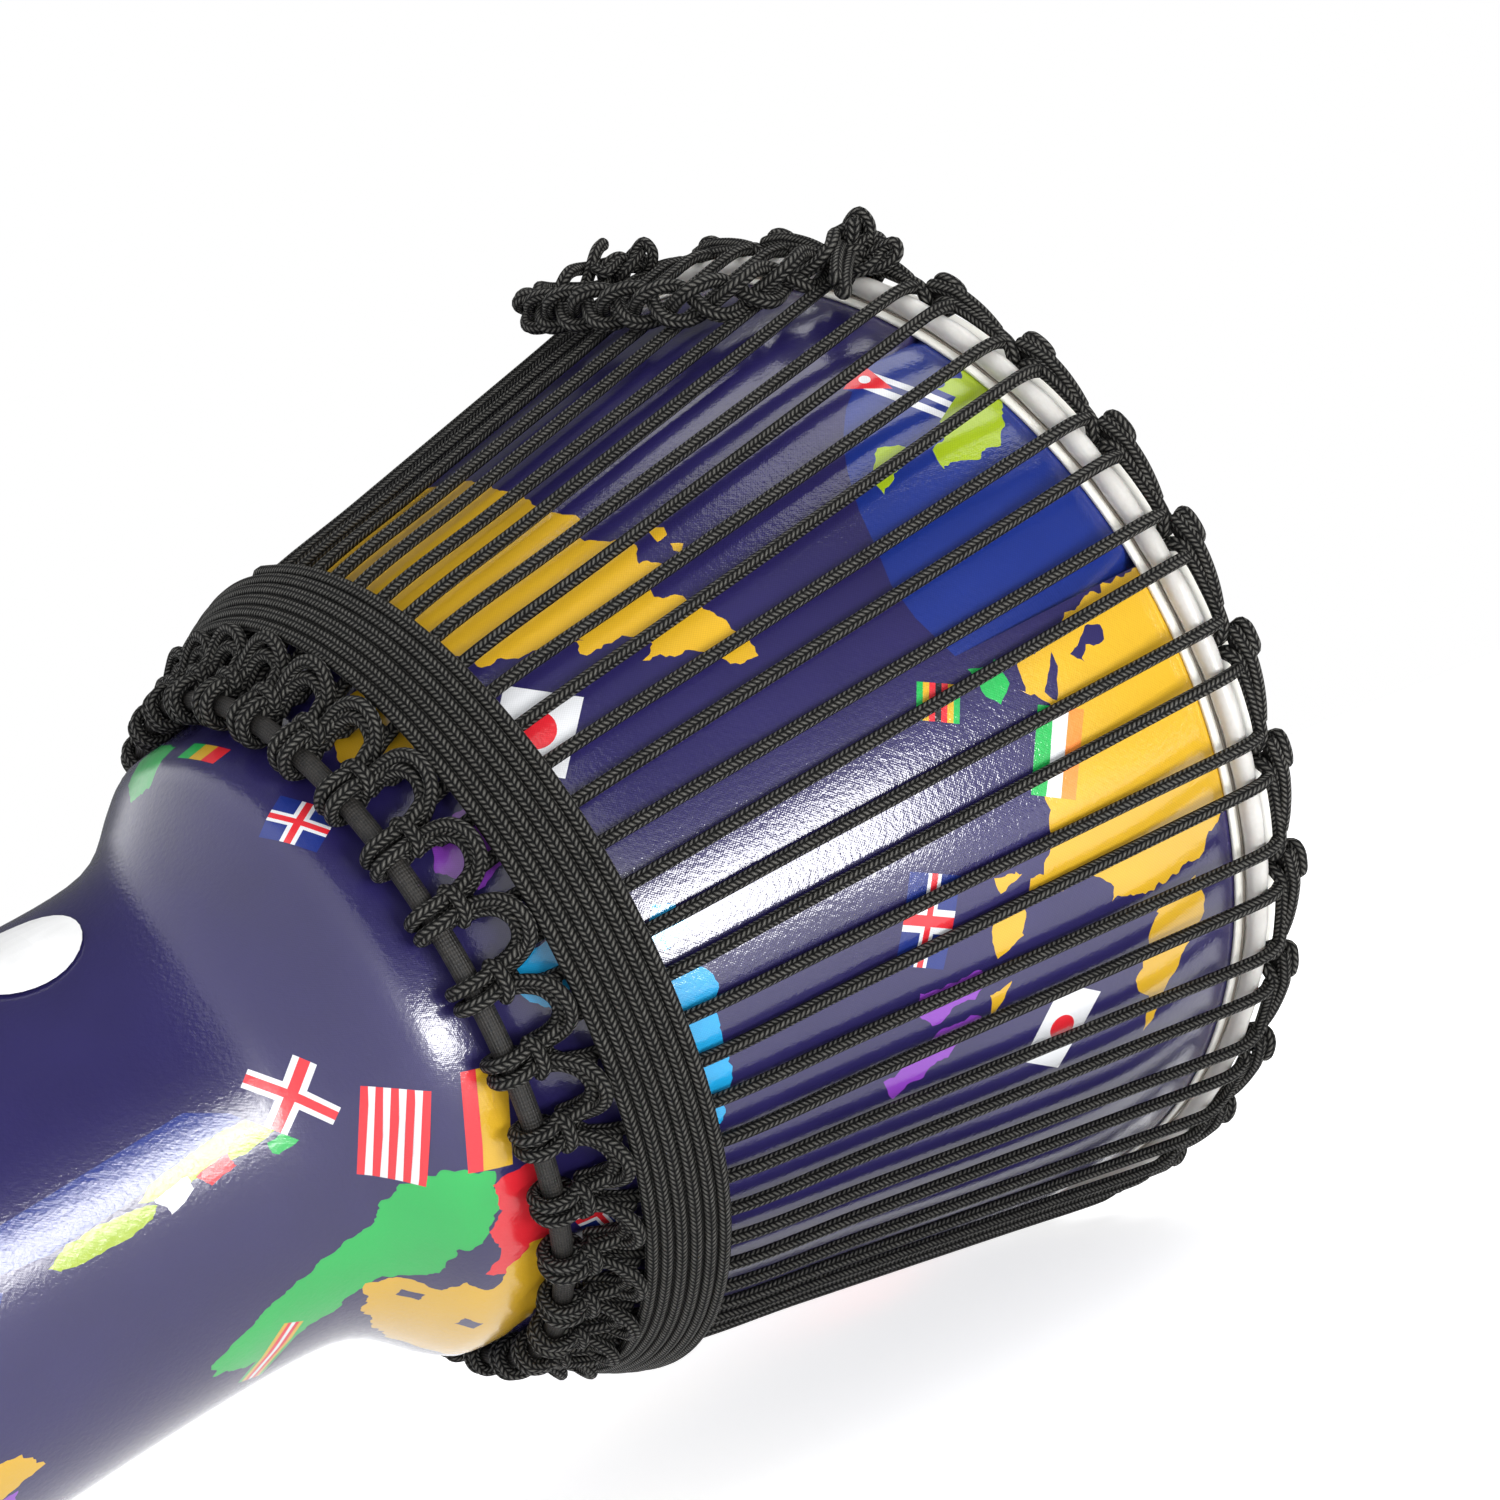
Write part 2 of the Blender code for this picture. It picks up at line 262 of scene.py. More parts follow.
class Nodes:
    """Short ways to add shader nodes to one material."""

    def __init__(self, name):
        self.material = bpy.data.materials.new(name)
        self.material.use_nodes = True
        self.tree = self.material.node_tree
        self.shader = self.tree.nodes["Principled BSDF"]

    def add(self, kind, **settings):
        node = self.tree.nodes.new(kind)
        for key, value in settings.items():
            setattr(node, key, value)
        return node

    def link(self, source, target):
        self.tree.links.new(source, target)

    def math(self, operation, a, b=0.0):
        node = self.add("ShaderNodeMath", operation=operation)
        for socket, value in zip(node.inputs, (a, b)):
            if isinstance(value, (int, float)):
                socket.default_value = value
            else:
                self.link(value, socket)
        return node.outputs[0]

    def times(self, a, b):
        return self.math("MULTIPLY", a, b)

    def plus(self, a, b):
        return self.math("ADD", a, b)

    def sine(self, angle):
        return self.math("SINE", angle)

    def noise(self, vector, scale, detail=3.0, rough=0.6):
        node = self.add("ShaderNodeTexNoise")
        node.inputs["Scale"].default_value = scale
        node.inputs["Detail"].default_value = detail
        node.inputs["Roughness"].default_value = rough
        self.link(vector, node.inputs["Vector"])
        return node.outputs["Fac"]

    def ramp(self, value, low, high, stops=(0.3, 0.7)):
        node = self.add("ShaderNodeValToRGB")
        node.color_ramp.elements[0].position, node.color_ramp.elements[1].position = stops
        node.color_ramp.elements[0].color = (*low, 1.0)
        node.color_ramp.elements[1].color = (*high, 1.0)
        self.link(value, node.inputs["Fac"])
        return node.outputs["Color"]

    def spread(self, value, low, high):
        node = self.add("ShaderNodeMapRange")
        node.inputs["To Min"].default_value = low
        node.inputs["To Max"].default_value = high
        self.link(value, node.inputs["Value"])
        return node.outputs["Result"]

    def bump(self, height, distance, strength=1.0, under=None):
        node = self.add("ShaderNodeBump")
        node.inputs["Distance"].default_value = distance
        node.inputs["Strength"].default_value = strength
        self.link(height, node.inputs["Height"])
        if under is not None:
            self.link(under, node.inputs["Normal"])
        return node.outputs["Normal"]

    def finish(self, colour=None, roughness=None, normal=None, **fixed):
        for name, socket in (("Base Color", colour), ("Roughness", roughness), ("Normal", normal)):
            if socket is None:
                continue
            if isinstance(socket, (int, float, tuple)):
                self.shader.inputs[name].default_value = socket
            else:
                self.link(socket, self.shader.inputs[name])
        for name, value in fixed.items():
            self.shader.inputs[name.replace("_", " ").title().replace("Ior", "IOR")].default_value = value
        return self.material

    def place(self):
        return self.add("ShaderNodeTexCoord").outputs["Object"]

    def unrolled(self, layer):
        """The two directions of a UV layer, in metres or turns."""
        uv = self.add("ShaderNodeUVMap", uv_map=layer).outputs["UV"]
        parts = self.add("ShaderNodeSeparateXYZ")
        self.link(uv, parts.inputs[0])
        return parts.outputs[0], parts.outputs[1]


def braid_material(name, dark, light, pitch=0.00135, chevrons=3):
    """Braided polyester: slanted yarns that meet in chevrons. Its colour is painted shade in the grooves
    between yarns and painted glints, as bright flecks, on their crowns.
    """
    make = Nodes(name)
    along, around = make.unrolled("along")
    columns = make.times(around, float(chevrons))
    zigzag = make.math("PINGPONG", columns, 0.5)
    slant = make.times(zigzag, 1.9)
    phase = make.math("FRACT", make.plus(make.math("DIVIDE", along, pitch), slant))
    yarn = make.sine(make.times(phase, math.pi))
    column = make.sine(make.times(make.math("FRACT", make.times(columns, 2.0)), math.pi))
    height = make.times(make.math("POWER", yarn, 1.1), make.math("POWER", column, 0.7))
    fibre = make.noise(make.place(), 2600.0, 2.0)
    patch = make.noise(make.place(), 260.0, 2.0)
    # Painted shade and highlight: the colour rises with the yarn's height, dark in the grooves, with painted
    # glints from the fibre noise and a random tone from the patches
    lit = make.times(height, make.plus(make.times(fibre, 1.1), make.times(patch, 0.5)))
    return make.finish(
        colour=make.ramp(lit, dark, light, (0.22, 0.82)),
        roughness=make.spread(height, 0.85, 0.45),
        normal=make.bump(height, 0.0007, 1.0, make.bump(fibre, 0.00012, 0.6)),
        specular_ior_level=0.22,
    )


def cloth_cover_material():
    """Tightly bound cloth over the rings: fine lengthwise threads."""
    make = Nodes("ring_cloth")
    along, around = make.unrolled("along")
    threads = make.sine(make.times(around, 2 * math.pi * 22))
    cross = make.sine(make.times(along, 2 * math.pi / 0.0009))
    weave = make.plus(make.times(threads, 0.5), make.times(cross, 0.3))
    wear = make.noise(make.place(), 420.0)
    return make.finish(
        colour=make.ramp(
            make.plus(make.times(weave, 0.3), wear), (0.003, 0.003, 0.003), (0.022, 0.019, 0.016)),
        roughness=make.spread(wear, 0.5, 0.8),
        normal=make.bump(weave, 0.0002, 0.6),
    )


PRINT_THREAD = 0.00075  # from one thread of the printed cloth to the next


def print_material(name, colour, lift):
    """Ink printed on fine cloth under a thick clear gloss, so that highlights break up into grains."""
    make = Nodes(name)
    across, along = make.unrolled("unrolled")
    warp = make.sine(make.times(across, FULL_TURN / PRINT_THREAD))
    weft = make.sine(make.times(along, FULL_TURN / PRINT_THREAD))
    weave = make.times(warp, weft)
    place = make.place()
    grain = make.noise(place, 800.0, 2.0, 0.6)
    cloud = make.noise(place, 14.0, 3.0)
    shade = make.plus(make.times(cloud, 0.75), make.times(weave, 0.13))
    low = tuple(channel * 0.82 for channel in colour)
    high = tuple(min(channel * lift, 1.0) for channel in colour)
    normal = make.bump(weave, 0.000009, 0.5, make.bump(grain, 0.00016, 0.5, make.bump(cloud, 0.002, 0.08)))
    make.link(normal, make.shader.inputs["Coat Normal"])
    return make.finish(
        colour=make.ramp(shade, low, high, (0.2, 0.65)),
        roughness=make.spread(grain, 0.26, 0.42),
        normal=normal,
        coat_weight=1.0, coat_roughness=0.035, specular_ior_level=0.3,
    )


def hide_material(name, low, high, scale, shine):
    """Pale skin: cloudy, with fine fibres and a waxy shine."""
    make = Nodes(name)
    place = make.place()
    cloud = make.noise(place, scale, 4.0, 0.65)
    fibre = make.noise(place, scale * 22, 4.0, 0.7)
    normal = make.bump(fibre, 0.00025, 0.35, make.bump(cloud, 0.0010, 0.25))
    return make.finish(
        colour=make.ramp(make.plus(make.times(cloud, 0.8), make.times(fibre, 0.2)), low, high),
        roughness=make.spread(fibre, shine, shine + 0.2),
        normal=normal, coat_weight=0.25, coat_roughness=0.2, subsurface_weight=0.05,
    )


def rubber_material():
    make = Nodes("foot_rubber_look")
    place = make.place()
    grain = make.noise(place, 1400.0, 2.0)
    scuff = make.noise(place, 45.0, 4.0)
    return make.finish(
        colour=make.ramp(scuff, (0.009, 0.009, 0.009), (0.028, 0.027, 0.026)),
        roughness=make.spread(scuff, 0.6, 0.9),
        normal=make.bump(grain, 0.0003, 0.5, make.bump(scuff, 0.0008, 0.2)),
    )


def fibreglass_material():
    """The shell's inside: dark painted fibre with a coarse random mat under it."""
    make = Nodes("inside_fibre")
    place = make.place()
    mat = make.noise(place, 160.0, 5.0, 0.75)
    cloud = make.noise(place, 12.0, 3.0)
    shade = make.plus(make.times(mat, 0.6), make.times(cloud, 0.4))
    return make.finish(
        colour=make.ramp(shade, (0.012, 0.012, 0.014), (0.05, 0.05, 0.055)),
        roughness=make.spread(mat, 0.45, 0.75),
        normal=make.bump(mat, 0.0012, 0.6),
    )


def paper_material():
    make = Nodes("sticker_paper")
    place = make.place()
    fibre = make.noise(place, 1800.0, 3.0)
    cloud = make.noise(place, 60.0, 2.0)
    return make.finish(
        colour=make.ramp(cloud, (0.80, 0.80, 0.79), (0.90, 0.90, 0.90)),
        roughness=make.spread(fibre, 0.25, 0.42),
        normal=make.bump(fibre, 0.00006, 0.5),
        coat_weight=0.3, coat_roughness=0.15,
    )


# ---------------------------------------------------------------- camera and handle

def make_camera():
    data = bpy.data.cameras.new("camera")
    data.sensor_width = 36.0
    data.lens = 39.6
    data.shift_x = 0.1333
    data.shift_y = 0.1267
    data.clip_start = 0.01
    data.clip_end = 60.0
    item = bpy.data.objects.new("camera", data)
    item.location = (0.0, -0.4232, 0.2140)
    item.rotation_euler = [math.radians(angle) for angle in (136.317, -50.643, -39.691)]
    bpy.context.scene.collection.objects.link(item)
    bpy.context.scene.camera = item


PLAIT_PERIOD = 0.0360
PLAIT_HALF_WIDTH = 0.0043
PLAIT_DEPTH = 0.0023
THICK_ROPE = ROPE * 1.15  # in the handle and the lower knots
WRAP_ROPE = ROPE * 1.06


def make_handle(braid):
    """Three strands of the lacing rope plaited into a flat chain, from one knot to the other."""
    route = smooth([polar(azimuth, radius, height) for azimuth, height, radius in HANDLE_ROUTE], 0.0008)
    _, _, heading = frames_along(route, False)
    side = route * np.array((1.0, 1.0, 0.0))
    side -= heading * np.sum(side * heading, axis=1)[:, None]
    side /= np.linalg.norm(side, axis=1)[:, None]
    thin = np.cross(heading, side)
    along = np.concatenate([[0.0], np.cumsum(np.linalg.norm(np.diff(route, axis=0), axis=1))])
    tubes = Tubes()
    for strand in range(3):
        angle = FULL_TURN * (along / PLAIT_PERIOD + strand / 3)
        swing = PLAIT_HALF_WIDTH * np.sin(angle)
        rise = PLAIT_DEPTH * np.sin(2 * angle)
        tubes.add(route + side * swing[:, None] + thin * rise[:, None], THICK_ROPE, 12)
    item = tubes.piece("plaited_handle", braid, "handle", "black_rope", "carry_handle")


# ---------------------------------------------------------------- ropes on the drum

# Where a strand leaves the crown: radius, height
CROWN_STRAND = [(0.1572, 0.5490), (0.1581, 0.5462), (0.1584, 0.5432), (0.1580, 0.5400)]
# A strand's turn at the bottom: share of its half width, metres up the shell, and off it
LACE_TURN = [(1.0, 0.0010, 0.0), (0.4, -0.0012, 0.0004), (-0.4, -0.0012, 0.0004), (-1.0, 0.0010, 0.0)]


def make_lacing(braid):
    """The endless zigzag: two strands from each crown hitch down to the two nearest lower hitches."""
    tubes = Tubes()
    side = HITCH_PITCH / 4
    corner = side * 0.82
    slack = random.Random(5)
    low_arc, high_arc = arc_at(WRAP_BOTTOM), arc_at(WRAP_TOP + 0.0010)
    turn_arc = arc_at(LACE_BOTTOM)
    for hitch in range(HITCHES):
        middle = FIRST_HITCH + hitch * HITCH_PITCH
        left = middle + LACE_SLANT - side
        right = left - 2 * side
        foot = middle + LACE_SLANT - HITCH_PITCH / 2
        lean = slack.uniform(-0.25, 0.25)
        last = middle - HITCH_PITCH
        down = [polar(middle - corner + lean, *place) for place in CROWN_STRAND]
        up = [polar(last + corner + lean, *place) for place in reversed(CROWN_STRAND)]
        high_left = off_shell(left, high_arc, LACE_OFFSET)
        high_right = off_shell(right, high_arc, LACE_OFFSET)
        straight = [0.25, 0.5, 0.75]
        points = down + [down[-1] * (1 - share) + high_left * share for share in straight]
        points += [high_left, off_shell(left, low_arc, LACE_OFFSET)]
        for reach, up_shell, off in LACE_TURN:
            points.append(off_shell(foot + corner * reach, turn_arc + up_shell, LACE_OFFSET + off))
        points += [off_shell(right, low_arc, LACE_OFFSET), high_right]
        points += [high_right * (1 - share) + up[0] * share for share in straight]
        points += up
        tubes.add(smooth(points, 0.0060), ROPE, 10)
    tubes.piece("lacing", braid, "drum", "black_rope", "lacing_rope")


# One crown hitch: millimetres along the ring, degrees round its section, millimetres from its centre
CROWN_HITCH = [
    (-11.0, -57, 2.9), (-7.4, -59, 3.0), (-4.2, -66, 3.2), (-2.2, -92, 3.1), (-1.5, -130, 2.8),
    (-1.5, -180, 2.7), (-1.9, -235, 2.7), (-2.6, -290, 2.7), (-2.9, -322, 3.1), (-1.7, -345, 3.9),
    (0.6, -355, 4.5), (2.9, -350, 4.2), (4.1, -325, 3.3), (4.0, -285, 2.7), (3.2, -235, 2.7),
    (2.3, -180, 2.7), (1.8, -130, 2.8), (2.3, -90, 3.2), (4.2, -64, 3.3), (7.4, -58, 3.1),
    (11.0, -56, 2.9),
]
# The second, shorter run that lies along the first one
CROWN_TAIL = [
    (-2.6, -32, 3.0), (-0.6, -26, 3.4), (2.0, -22, 3.7), (5.0, -16, 3.8), (8.6, -16, 3.5), (12.5, -22, 3.2),
    (16.5, -34, 2.9), (20.0, -50, 2.6),
]


def make_crown_cradle(braid):
    """The crown ring's row of hitches: one endless rope, and a short second run at each hitch."""
    points, tubes = [], Tubes()
    sway = random.Random(11)

    def round_ring(middle, along, section, out):
        azimuth = middle + math.degrees(along * MM / CROWN_RADIUS)
        angle = math.radians(section)
        radius = CROWN_RADIUS + out * MM * math.cos(angle)
        return polar(azimuth, radius, CROWN_HEIGHT + out * MM * math.sin(angle))

    for hitch in range(HITCHES):
        middle = FIRST_HITCH + hitch * HITCH_PITCH
        ease = sway.uniform(-0.5, 0.5)
        proud = sway.uniform(-0.25, 0.35)
        for along, section, out in CROWN_HITCH:
            points.append(round_ring(middle, along + ease, section, out + (proud if out > 3.4 else 0.0)))
        tail = [round_ring(middle, along + ease, section, out) for along, section, out in CROWN_TAIL]
        tubes.add(smooth(tail, 0.0012), ROPE, 12)
    tubes.add(smooth(points, 0.0012, True), ROPE, 12, True)
    tubes.piece("crown_hitches", braid, "drum", "black_rope", "crown_cradle")


# One knot on the lower ring: millimetres along it, degrees round it (0 outwards, 90 towards the head), radius
LOWER_KNOT = [
    (-2.9, 84, 6.4), (-2.2, 35, 4.9), (-2.0, -35, 4.6), (-1.9, -105, 4.6), (-1.6, -170, 4.6),
    (-0.9, -225, 4.7), (0.6, -282, 5.3), (1.9, -335, 4.9), (2.1, -400, 4.6), (2.0, -470, 4.6),
    (1.8, -535, 4.6), (1.5, -600, 4.9),
]
# The arch from one knot to the next: share of the pitch, millimetres up the shell from the ring, and off it
LOWER_ARCH = [
    (0.075, 8.2, 5.8), (0.11, 13.0, 7.2), (0.25, 18.2, 8.8), (0.48, 20.4, 9.6), (0.71, 19.4, 8.2),
    (0.87, 14.6, 5.0), (0.905, 9.4, 3.8),
]

# The lump over each knot, as LOWER_KNOT is given
LOWER_LUMP = [(-3.9, 62, 5.6), (-2.6, 58, 7.4), (0.0, 56, 8.0), (2.6, 60, 7.4), (3.9, 66, 5.6)]
# Each knot's two legs: millimetres to the side, up the shell from the ring, and off it
LOWER_LEG = [(1.7, 4.6, 7.4), (2.0, 7.8, 6.6), (2.7, 11.4, 6.2), (3.8, 15.0, 5.6), (5.6, 19.0, 4.2)]
# The smaller arch inside each arch, as LOWER_ARCH is given
INNER_ARCH = [
    (0.12, 7.6, 3.8), (0.17, 12.0, 5.2), (0.30, 16.2, 6.4), (0.49, 17.8, 6.6), (0.68, 16.6, 5.2),
    (0.81, 12.6, 3.4), (0.86, 8.2, 3.0),
]


def make_lower_cradle(braid):
    """The lower ring's knots: two turns and a crossing lump each, joined by overlapping arches."""
    base = arc_at(LOWER_RING_FOOT)
    centre = off_shell(0.0, base, LOWER_RING_OFFSET)
    out = off_shell(0.0, base, 1.0) - off_shell(0.0, base, 0.0)
    headwards = np.array((-out[2], 0.0, out[0]))
    ring_radius = centre[0]

    def round_ring(azimuth, along, section, reach):
        angle = math.radians(section)
        offset = (out * math.cos(angle) + headwards * math.sin(angle)) * reach * MM
        turn = azimuth + math.degrees(along * MM / ring_radius)
        return polar(turn, centre[0] + offset[0], centre[2] + offset[2])

    tubes = Tubes()
    points = []
    sway = random.Random(23)
    for hitch in range(HITCHES):
        middle = FIRST_HITCH + HITCH_PITCH / 2 + LACE_SLANT + hitch * HITCH_PITCH
        ease, rise = sway.uniform(-0.35, 0.35), sway.uniform(-0.5, 0.5)
        for along, section, reach in LOWER_KNOT:
            points.append(round_ring(middle, along + ease, section, reach))
        for share, up, off in LOWER_ARCH:
            lift = rise if up > 9 else 0.0
            points.append(off_shell(middle + HITCH_PITCH * share, base + (up + lift) * MM, off * MM))
        lump = [round_ring(middle, along + ease, section, reach) for along, section, reach in LOWER_LUMP]
        tubes.add(smooth(lump, 0.0012), ROPE, 12)
        for side in (-1, 1):
            leg = [
                off_shell(middle + math.degrees(side * along * MM / ring_radius), base + up * MM, off * MM)
                for along, up, off in LOWER_LEG
            ]
            tubes.add(smooth(leg, 0.0015), THICK_ROPE, 12)
        arch = [
            off_shell(middle + HITCH_PITCH * share, base + up * MM, off * MM) for share, up, off in INNER_ARCH
        ]
        tubes.add(smooth(arch, 0.0015), THICK_ROPE, 12)
    tubes.add(smooth(points, 0.0012, True), ROPE, 12, True)
    tubes.piece("lower_knots", braid, "drum", "black_rope", "lower_cradle")


# The wrap's loose end: degrees on from its last turn, metres up the shell, and off it
WRAP_TAIL = [(4.0, -0.0030, 0.0006), (6.5, -0.0085, 0.0012), (6.0, -0.0140, 0.0026), (3.0, -0.0175, 0.0036)]


def make_wrap(braid):
    """The spare rope wound over the strands, with its end brought out at the bottom."""
    steps = round(WRAP_TURNS * 90)
    top, bottom = arc_at(WRAP_TOP), arc_at(WRAP_BOTTOM)
    trial = np.linspace(bottom, top + 0.004, 200)
    laid = np.array([off_shell(0.0, arc, WRAP_OFFSET) for arc in trial])
    climb = np.concatenate([[0.0], np.cumsum(np.linalg.norm(np.diff(laid, axis=0), axis=1))])
    rise = min(WRAP_TURNS * 2 * ROPE * 1.03, climb[-1])
    start = float(np.interp(rise, climb, trial))
    points = [off_shell(WRAP_START - 3.0, start - 0.0010, WRAP_OFFSET - 0.0030)]
    for step in range(steps + 1):
        share = step / steps
        azimuth = WRAP_START + 360 * WRAP_TURNS * share
        slack = 0.00006 * math.sin(math.radians(azimuth * 5))
        slack += 0.00005 * math.sin(math.radians(azimuth * 11 + 40))
        arc = float(np.interp(rise * (1 - share), climb, trial))
        points.append(off_shell(azimuth, arc + slack, WRAP_OFFSET + 0.0002))
    end = WRAP_START + 360 * WRAP_TURNS
    points += [off_shell(end + turn, bottom + up, WRAP_OFFSET + off) for turn, up, off in WRAP_TAIL]
    tubes = Tubes()
    tubes.add(smooth(points, 0.0040), WRAP_ROPE, 12)
    tubes.piece("waist_wrap", braid, "drum", "black_rope", "wrap_rope")


def knot_axes(azimuth):
    angle = math.radians(azimuth)
    outward = np.array((math.cos(angle), math.sin(angle), 0.0))
    return outward, np.array((-math.sin(angle), math.cos(angle), 0.0)), np.array((0.0, 0.0, 1.0))


def make_handle_knot(name, azimuth, braid, node, sink, loops):
    """A tight three-lobed knot lashed to the crown, with loops standing out of it."""
    outward, around, up = knot_axes(azimuth)
    centre = polar(azimuth, KNOT_RADIUS, KNOT_HEIGHT)

    def at(a, b, c):
        return centre + (outward * a + around * b + up * c) * MM

    tubes = Tubes()
    lobes = []
    for step in range(48):
        t = 2 * math.pi * step / 48
        reach = 4.7 + 2.5 * math.cos(3 * t)
        lobes.append(at(sink + 2.5 * math.sin(3 * t), reach * math.cos(2 * t), reach * math.sin(2 * t)))
    tubes.add(smooth(lobes, 0.0010, True), ROPE, 12, True)
    for lash in (-1.75, 1.75):
        ringed = []
        for step in range(12):
            t = 2 * math.pi * step / 12
            ringed.append(at(-10.6 + 6.6 * math.cos(t), lash + 0.4 * math.sin(t), 2.6 + 6.2 * math.sin(t)))
        tubes.add(smooth(ringed, 0.0010, True), ROPE, 12, True)
    for loop in loops:
        tubes.add(smooth([at(*point) for point in loop], 0.0010), ROPE, 12)
    tubes.piece(name, braid, "drum", "black_rope", node)


# ---------------------------------------------------------------- turned and ring-shaped pieces

def turned_mesh(name, profile, closed, finishes, sides=180):
    """A profile turned round Z; a profile that starts or ends on the axis is closed there by a fan."""
    points, faces = [], []
    for radius, height in profile:
        if radius < 1e-9:
            points.append((0.0, 0.0, height))
        else:
            points.extend(tuple(polar(360 * k / sides, radius, height)) for k in range(sides))
    starts, at = [], 0
    for radius, _ in profile:
        starts.append(at)
        at += 1 if radius < 1e-9 else sides
    rows = len(profile)
    for i in range(rows if closed else rows - 1):
        j = (i + 1) % rows
        a, b = starts[i], starts[j]
        for k in range(sides):
            m = (k + 1) % sides
            if profile[i][0] < 1e-9:
                faces.append((a, b + k, b + m))
            elif profile[j][0] < 1e-9:
                faces.append((a + m, a + k, b))
            else:
                faces.append((a + m, a + k, b + k, b + m))
    return mesh_object(name, points, faces, finishes)


def outward_faces(item):
    """Turn every face outwards."""
    work = bmesh.new()
    work.from_mesh(item.data)
    bmesh.ops.recalc_face_normals(work, faces=work.faces)
    work.to_mesh(item.data)
    work.free()


def rounded(corners, radius, steps=4):
    """A closed outline with its corners rounded off."""
    outline = []
    count = len(corners)
    for i in range(count):
        before, here, after = (np.array(corners[(i + k) % count]) for k in (-1, 0, 1))
        cut0 = min(radius, np.linalg.norm(before - here) * 0.45)
        cut1 = min(radius, np.linalg.norm(after - here) * 0.45)
        start = here + (before - here) / np.linalg.norm(before - here) * cut0
        end = here + (after - here) / np.linalg.norm(after - here) * cut1
        for step in range(steps + 1):
            t = step / steps
            outline.append(tuple((1 - t) ** 2 * start + 2 * t * (1 - t) * here + t**2 * end))
    return outline


def make_foot(rubber):
    """The rubber ring: a lip under the shell's foot and a wall round it."""
    corners = [
        (0.1024, 0.0110), (0.1030, 0.0), (0.0920, 0.0), (0.0920, 0.0026), (0.1004, 0.0026), (0.1004, 0.0110),
    ]
    item = turned_mesh("rubber_foot", rounded(corners, 0.0009), True, [rubber])
    outward_faces(item)
    settle(item, "drum", "foot_rubber", "foot_bumper")


SKIN = 0.0009  # the skin's thickness


def make_head(hide, seam):
    """The skin: a taut face that rolls over the edge into the collar, with its stitched brown line."""
    inside = COLLAR_RADIUS - SKIN
    bottom = HEIGHT - COLLAR_DROP
    face = [(radius, HEIGHT) for radius in (0.0, 0.03, 0.06, 0.09, 0.12, 0.138, 0.1470)]
    roll = [
        (0.1485, HEIGHT - 0.0004), (0.1498, HEIGHT - 0.0013), (0.1507, HEIGHT - 0.0026),
        (COLLAR_RADIUS, HEIGHT - 0.0042),
    ]
    side = [
        (COLLAR_RADIUS, FLESH_HEIGHT - 0.0012), (COLLAR_RADIUS + 0.0001, bottom + 0.0020),
        (COLLAR_RADIUS + 0.0001, bottom + 0.0006), (COLLAR_RADIUS - 0.0002, bottom),
    ]
    back = [(inside, bottom), (inside, HEIGHT - 0.0055)]
    back += [(radius, HEIGHT - SKIN) for radius in (0.1484, 0.12, 0.06, 0.0)]
    item = turned_mesh("head_skin", face + roll + side + back, False, [hide, seam])
    outward_faces(item)
    settle(item, "drum", "white_hide", "drum_skin")
    line = Tubes()
    circle = [polar(360 * k / 240, COLLAR_RADIUS + 0.0001, bottom + 0.0026) for k in range(240)]
    line.add(circle, 0.00042, 8, True)
    line.piece("collar_seam", seam, "drum", "white_hide")


def make_flesh_band(hide):
    """The skin lapped round its hoop: it swells a little between the strands that press on it."""
    points, faces = [], []
    around, sides = 680, 20
    for i in range(around):
        azimuth = 360 * i / around
        nearest = (azimuth - FIRST_HITCH) % (HITCH_PITCH / 2) / (HITCH_PITCH / 2)
        swell = 0.00025 * (1 - math.cos(2 * math.pi * (nearest - 0.41))) / 2
        for k in range(sides):
            angle = 2 * math.pi * k / sides
            fold = 0.00012 * noise.noise(Vector(tuple(polar(azimuth, 3.2, 2.0 * math.sin(angle)))) * 6.0)
            radius = FLESH_RING - 0.0002 + swell + fold
            height = FLESH_HEIGHT + radius * math.sin(angle)
            points.append(tuple(polar(azimuth, FLESH_RADIUS + radius * math.cos(angle), height)))
    for i in range(around):
        j = (i + 1) % around
        for k in range(sides):
            m = (k + 1) % sides
            faces.append((i * sides + k, j * sides + k, j * sides + m, i * sides + m))
    item = mesh_object("flesh_band", points, faces, [hide])
    outward_faces(item)
    settle(item, "drum", "white_hide", "flesh_ring")


def make_rings(cloth):
    crown = Tubes()
    crown.add([polar(360 * k / 240, CROWN_RADIUS, CROWN_HEIGHT) for k in range(240)], CROWN_ROD, 12, True)
    crown.piece("crown_rod", cloth, "drum", "ring_steel", "crown_ring")
    centre = off_shell(0.0, arc_at(LOWER_RING_FOOT), LOWER_RING_OFFSET)
    lower = Tubes()
    lower.add([polar(360 * k / 240, centre[0], centre[2]) for k in range(240)], LOWER_ROD, 18, True)
    lower.piece("lower_rod", cloth, "drum", "ring_steel", "lower_ring")


# ---------------------------------------------------------------- the printed shell

INKS = {
    "navy": (0.016, 0.012, 0.075), "royal": (0.008, 0.024, 0.190), "yellow": (0.64, 0.375, 0.018),
    "lime": (0.32, 0.44, 0.010), "green": (0.010, 0.40, 0.075), "purple": (0.24, 0.045, 0.45),
    "cyan": (0.010, 0.36, 0.72), "red": (0.68, 0.018, 0.030), "white": (0.72, 0.73, 0.75),
    "orange": (0.85, 0.25, 0.04), "black": (0.008, 0.008, 0.012),
}

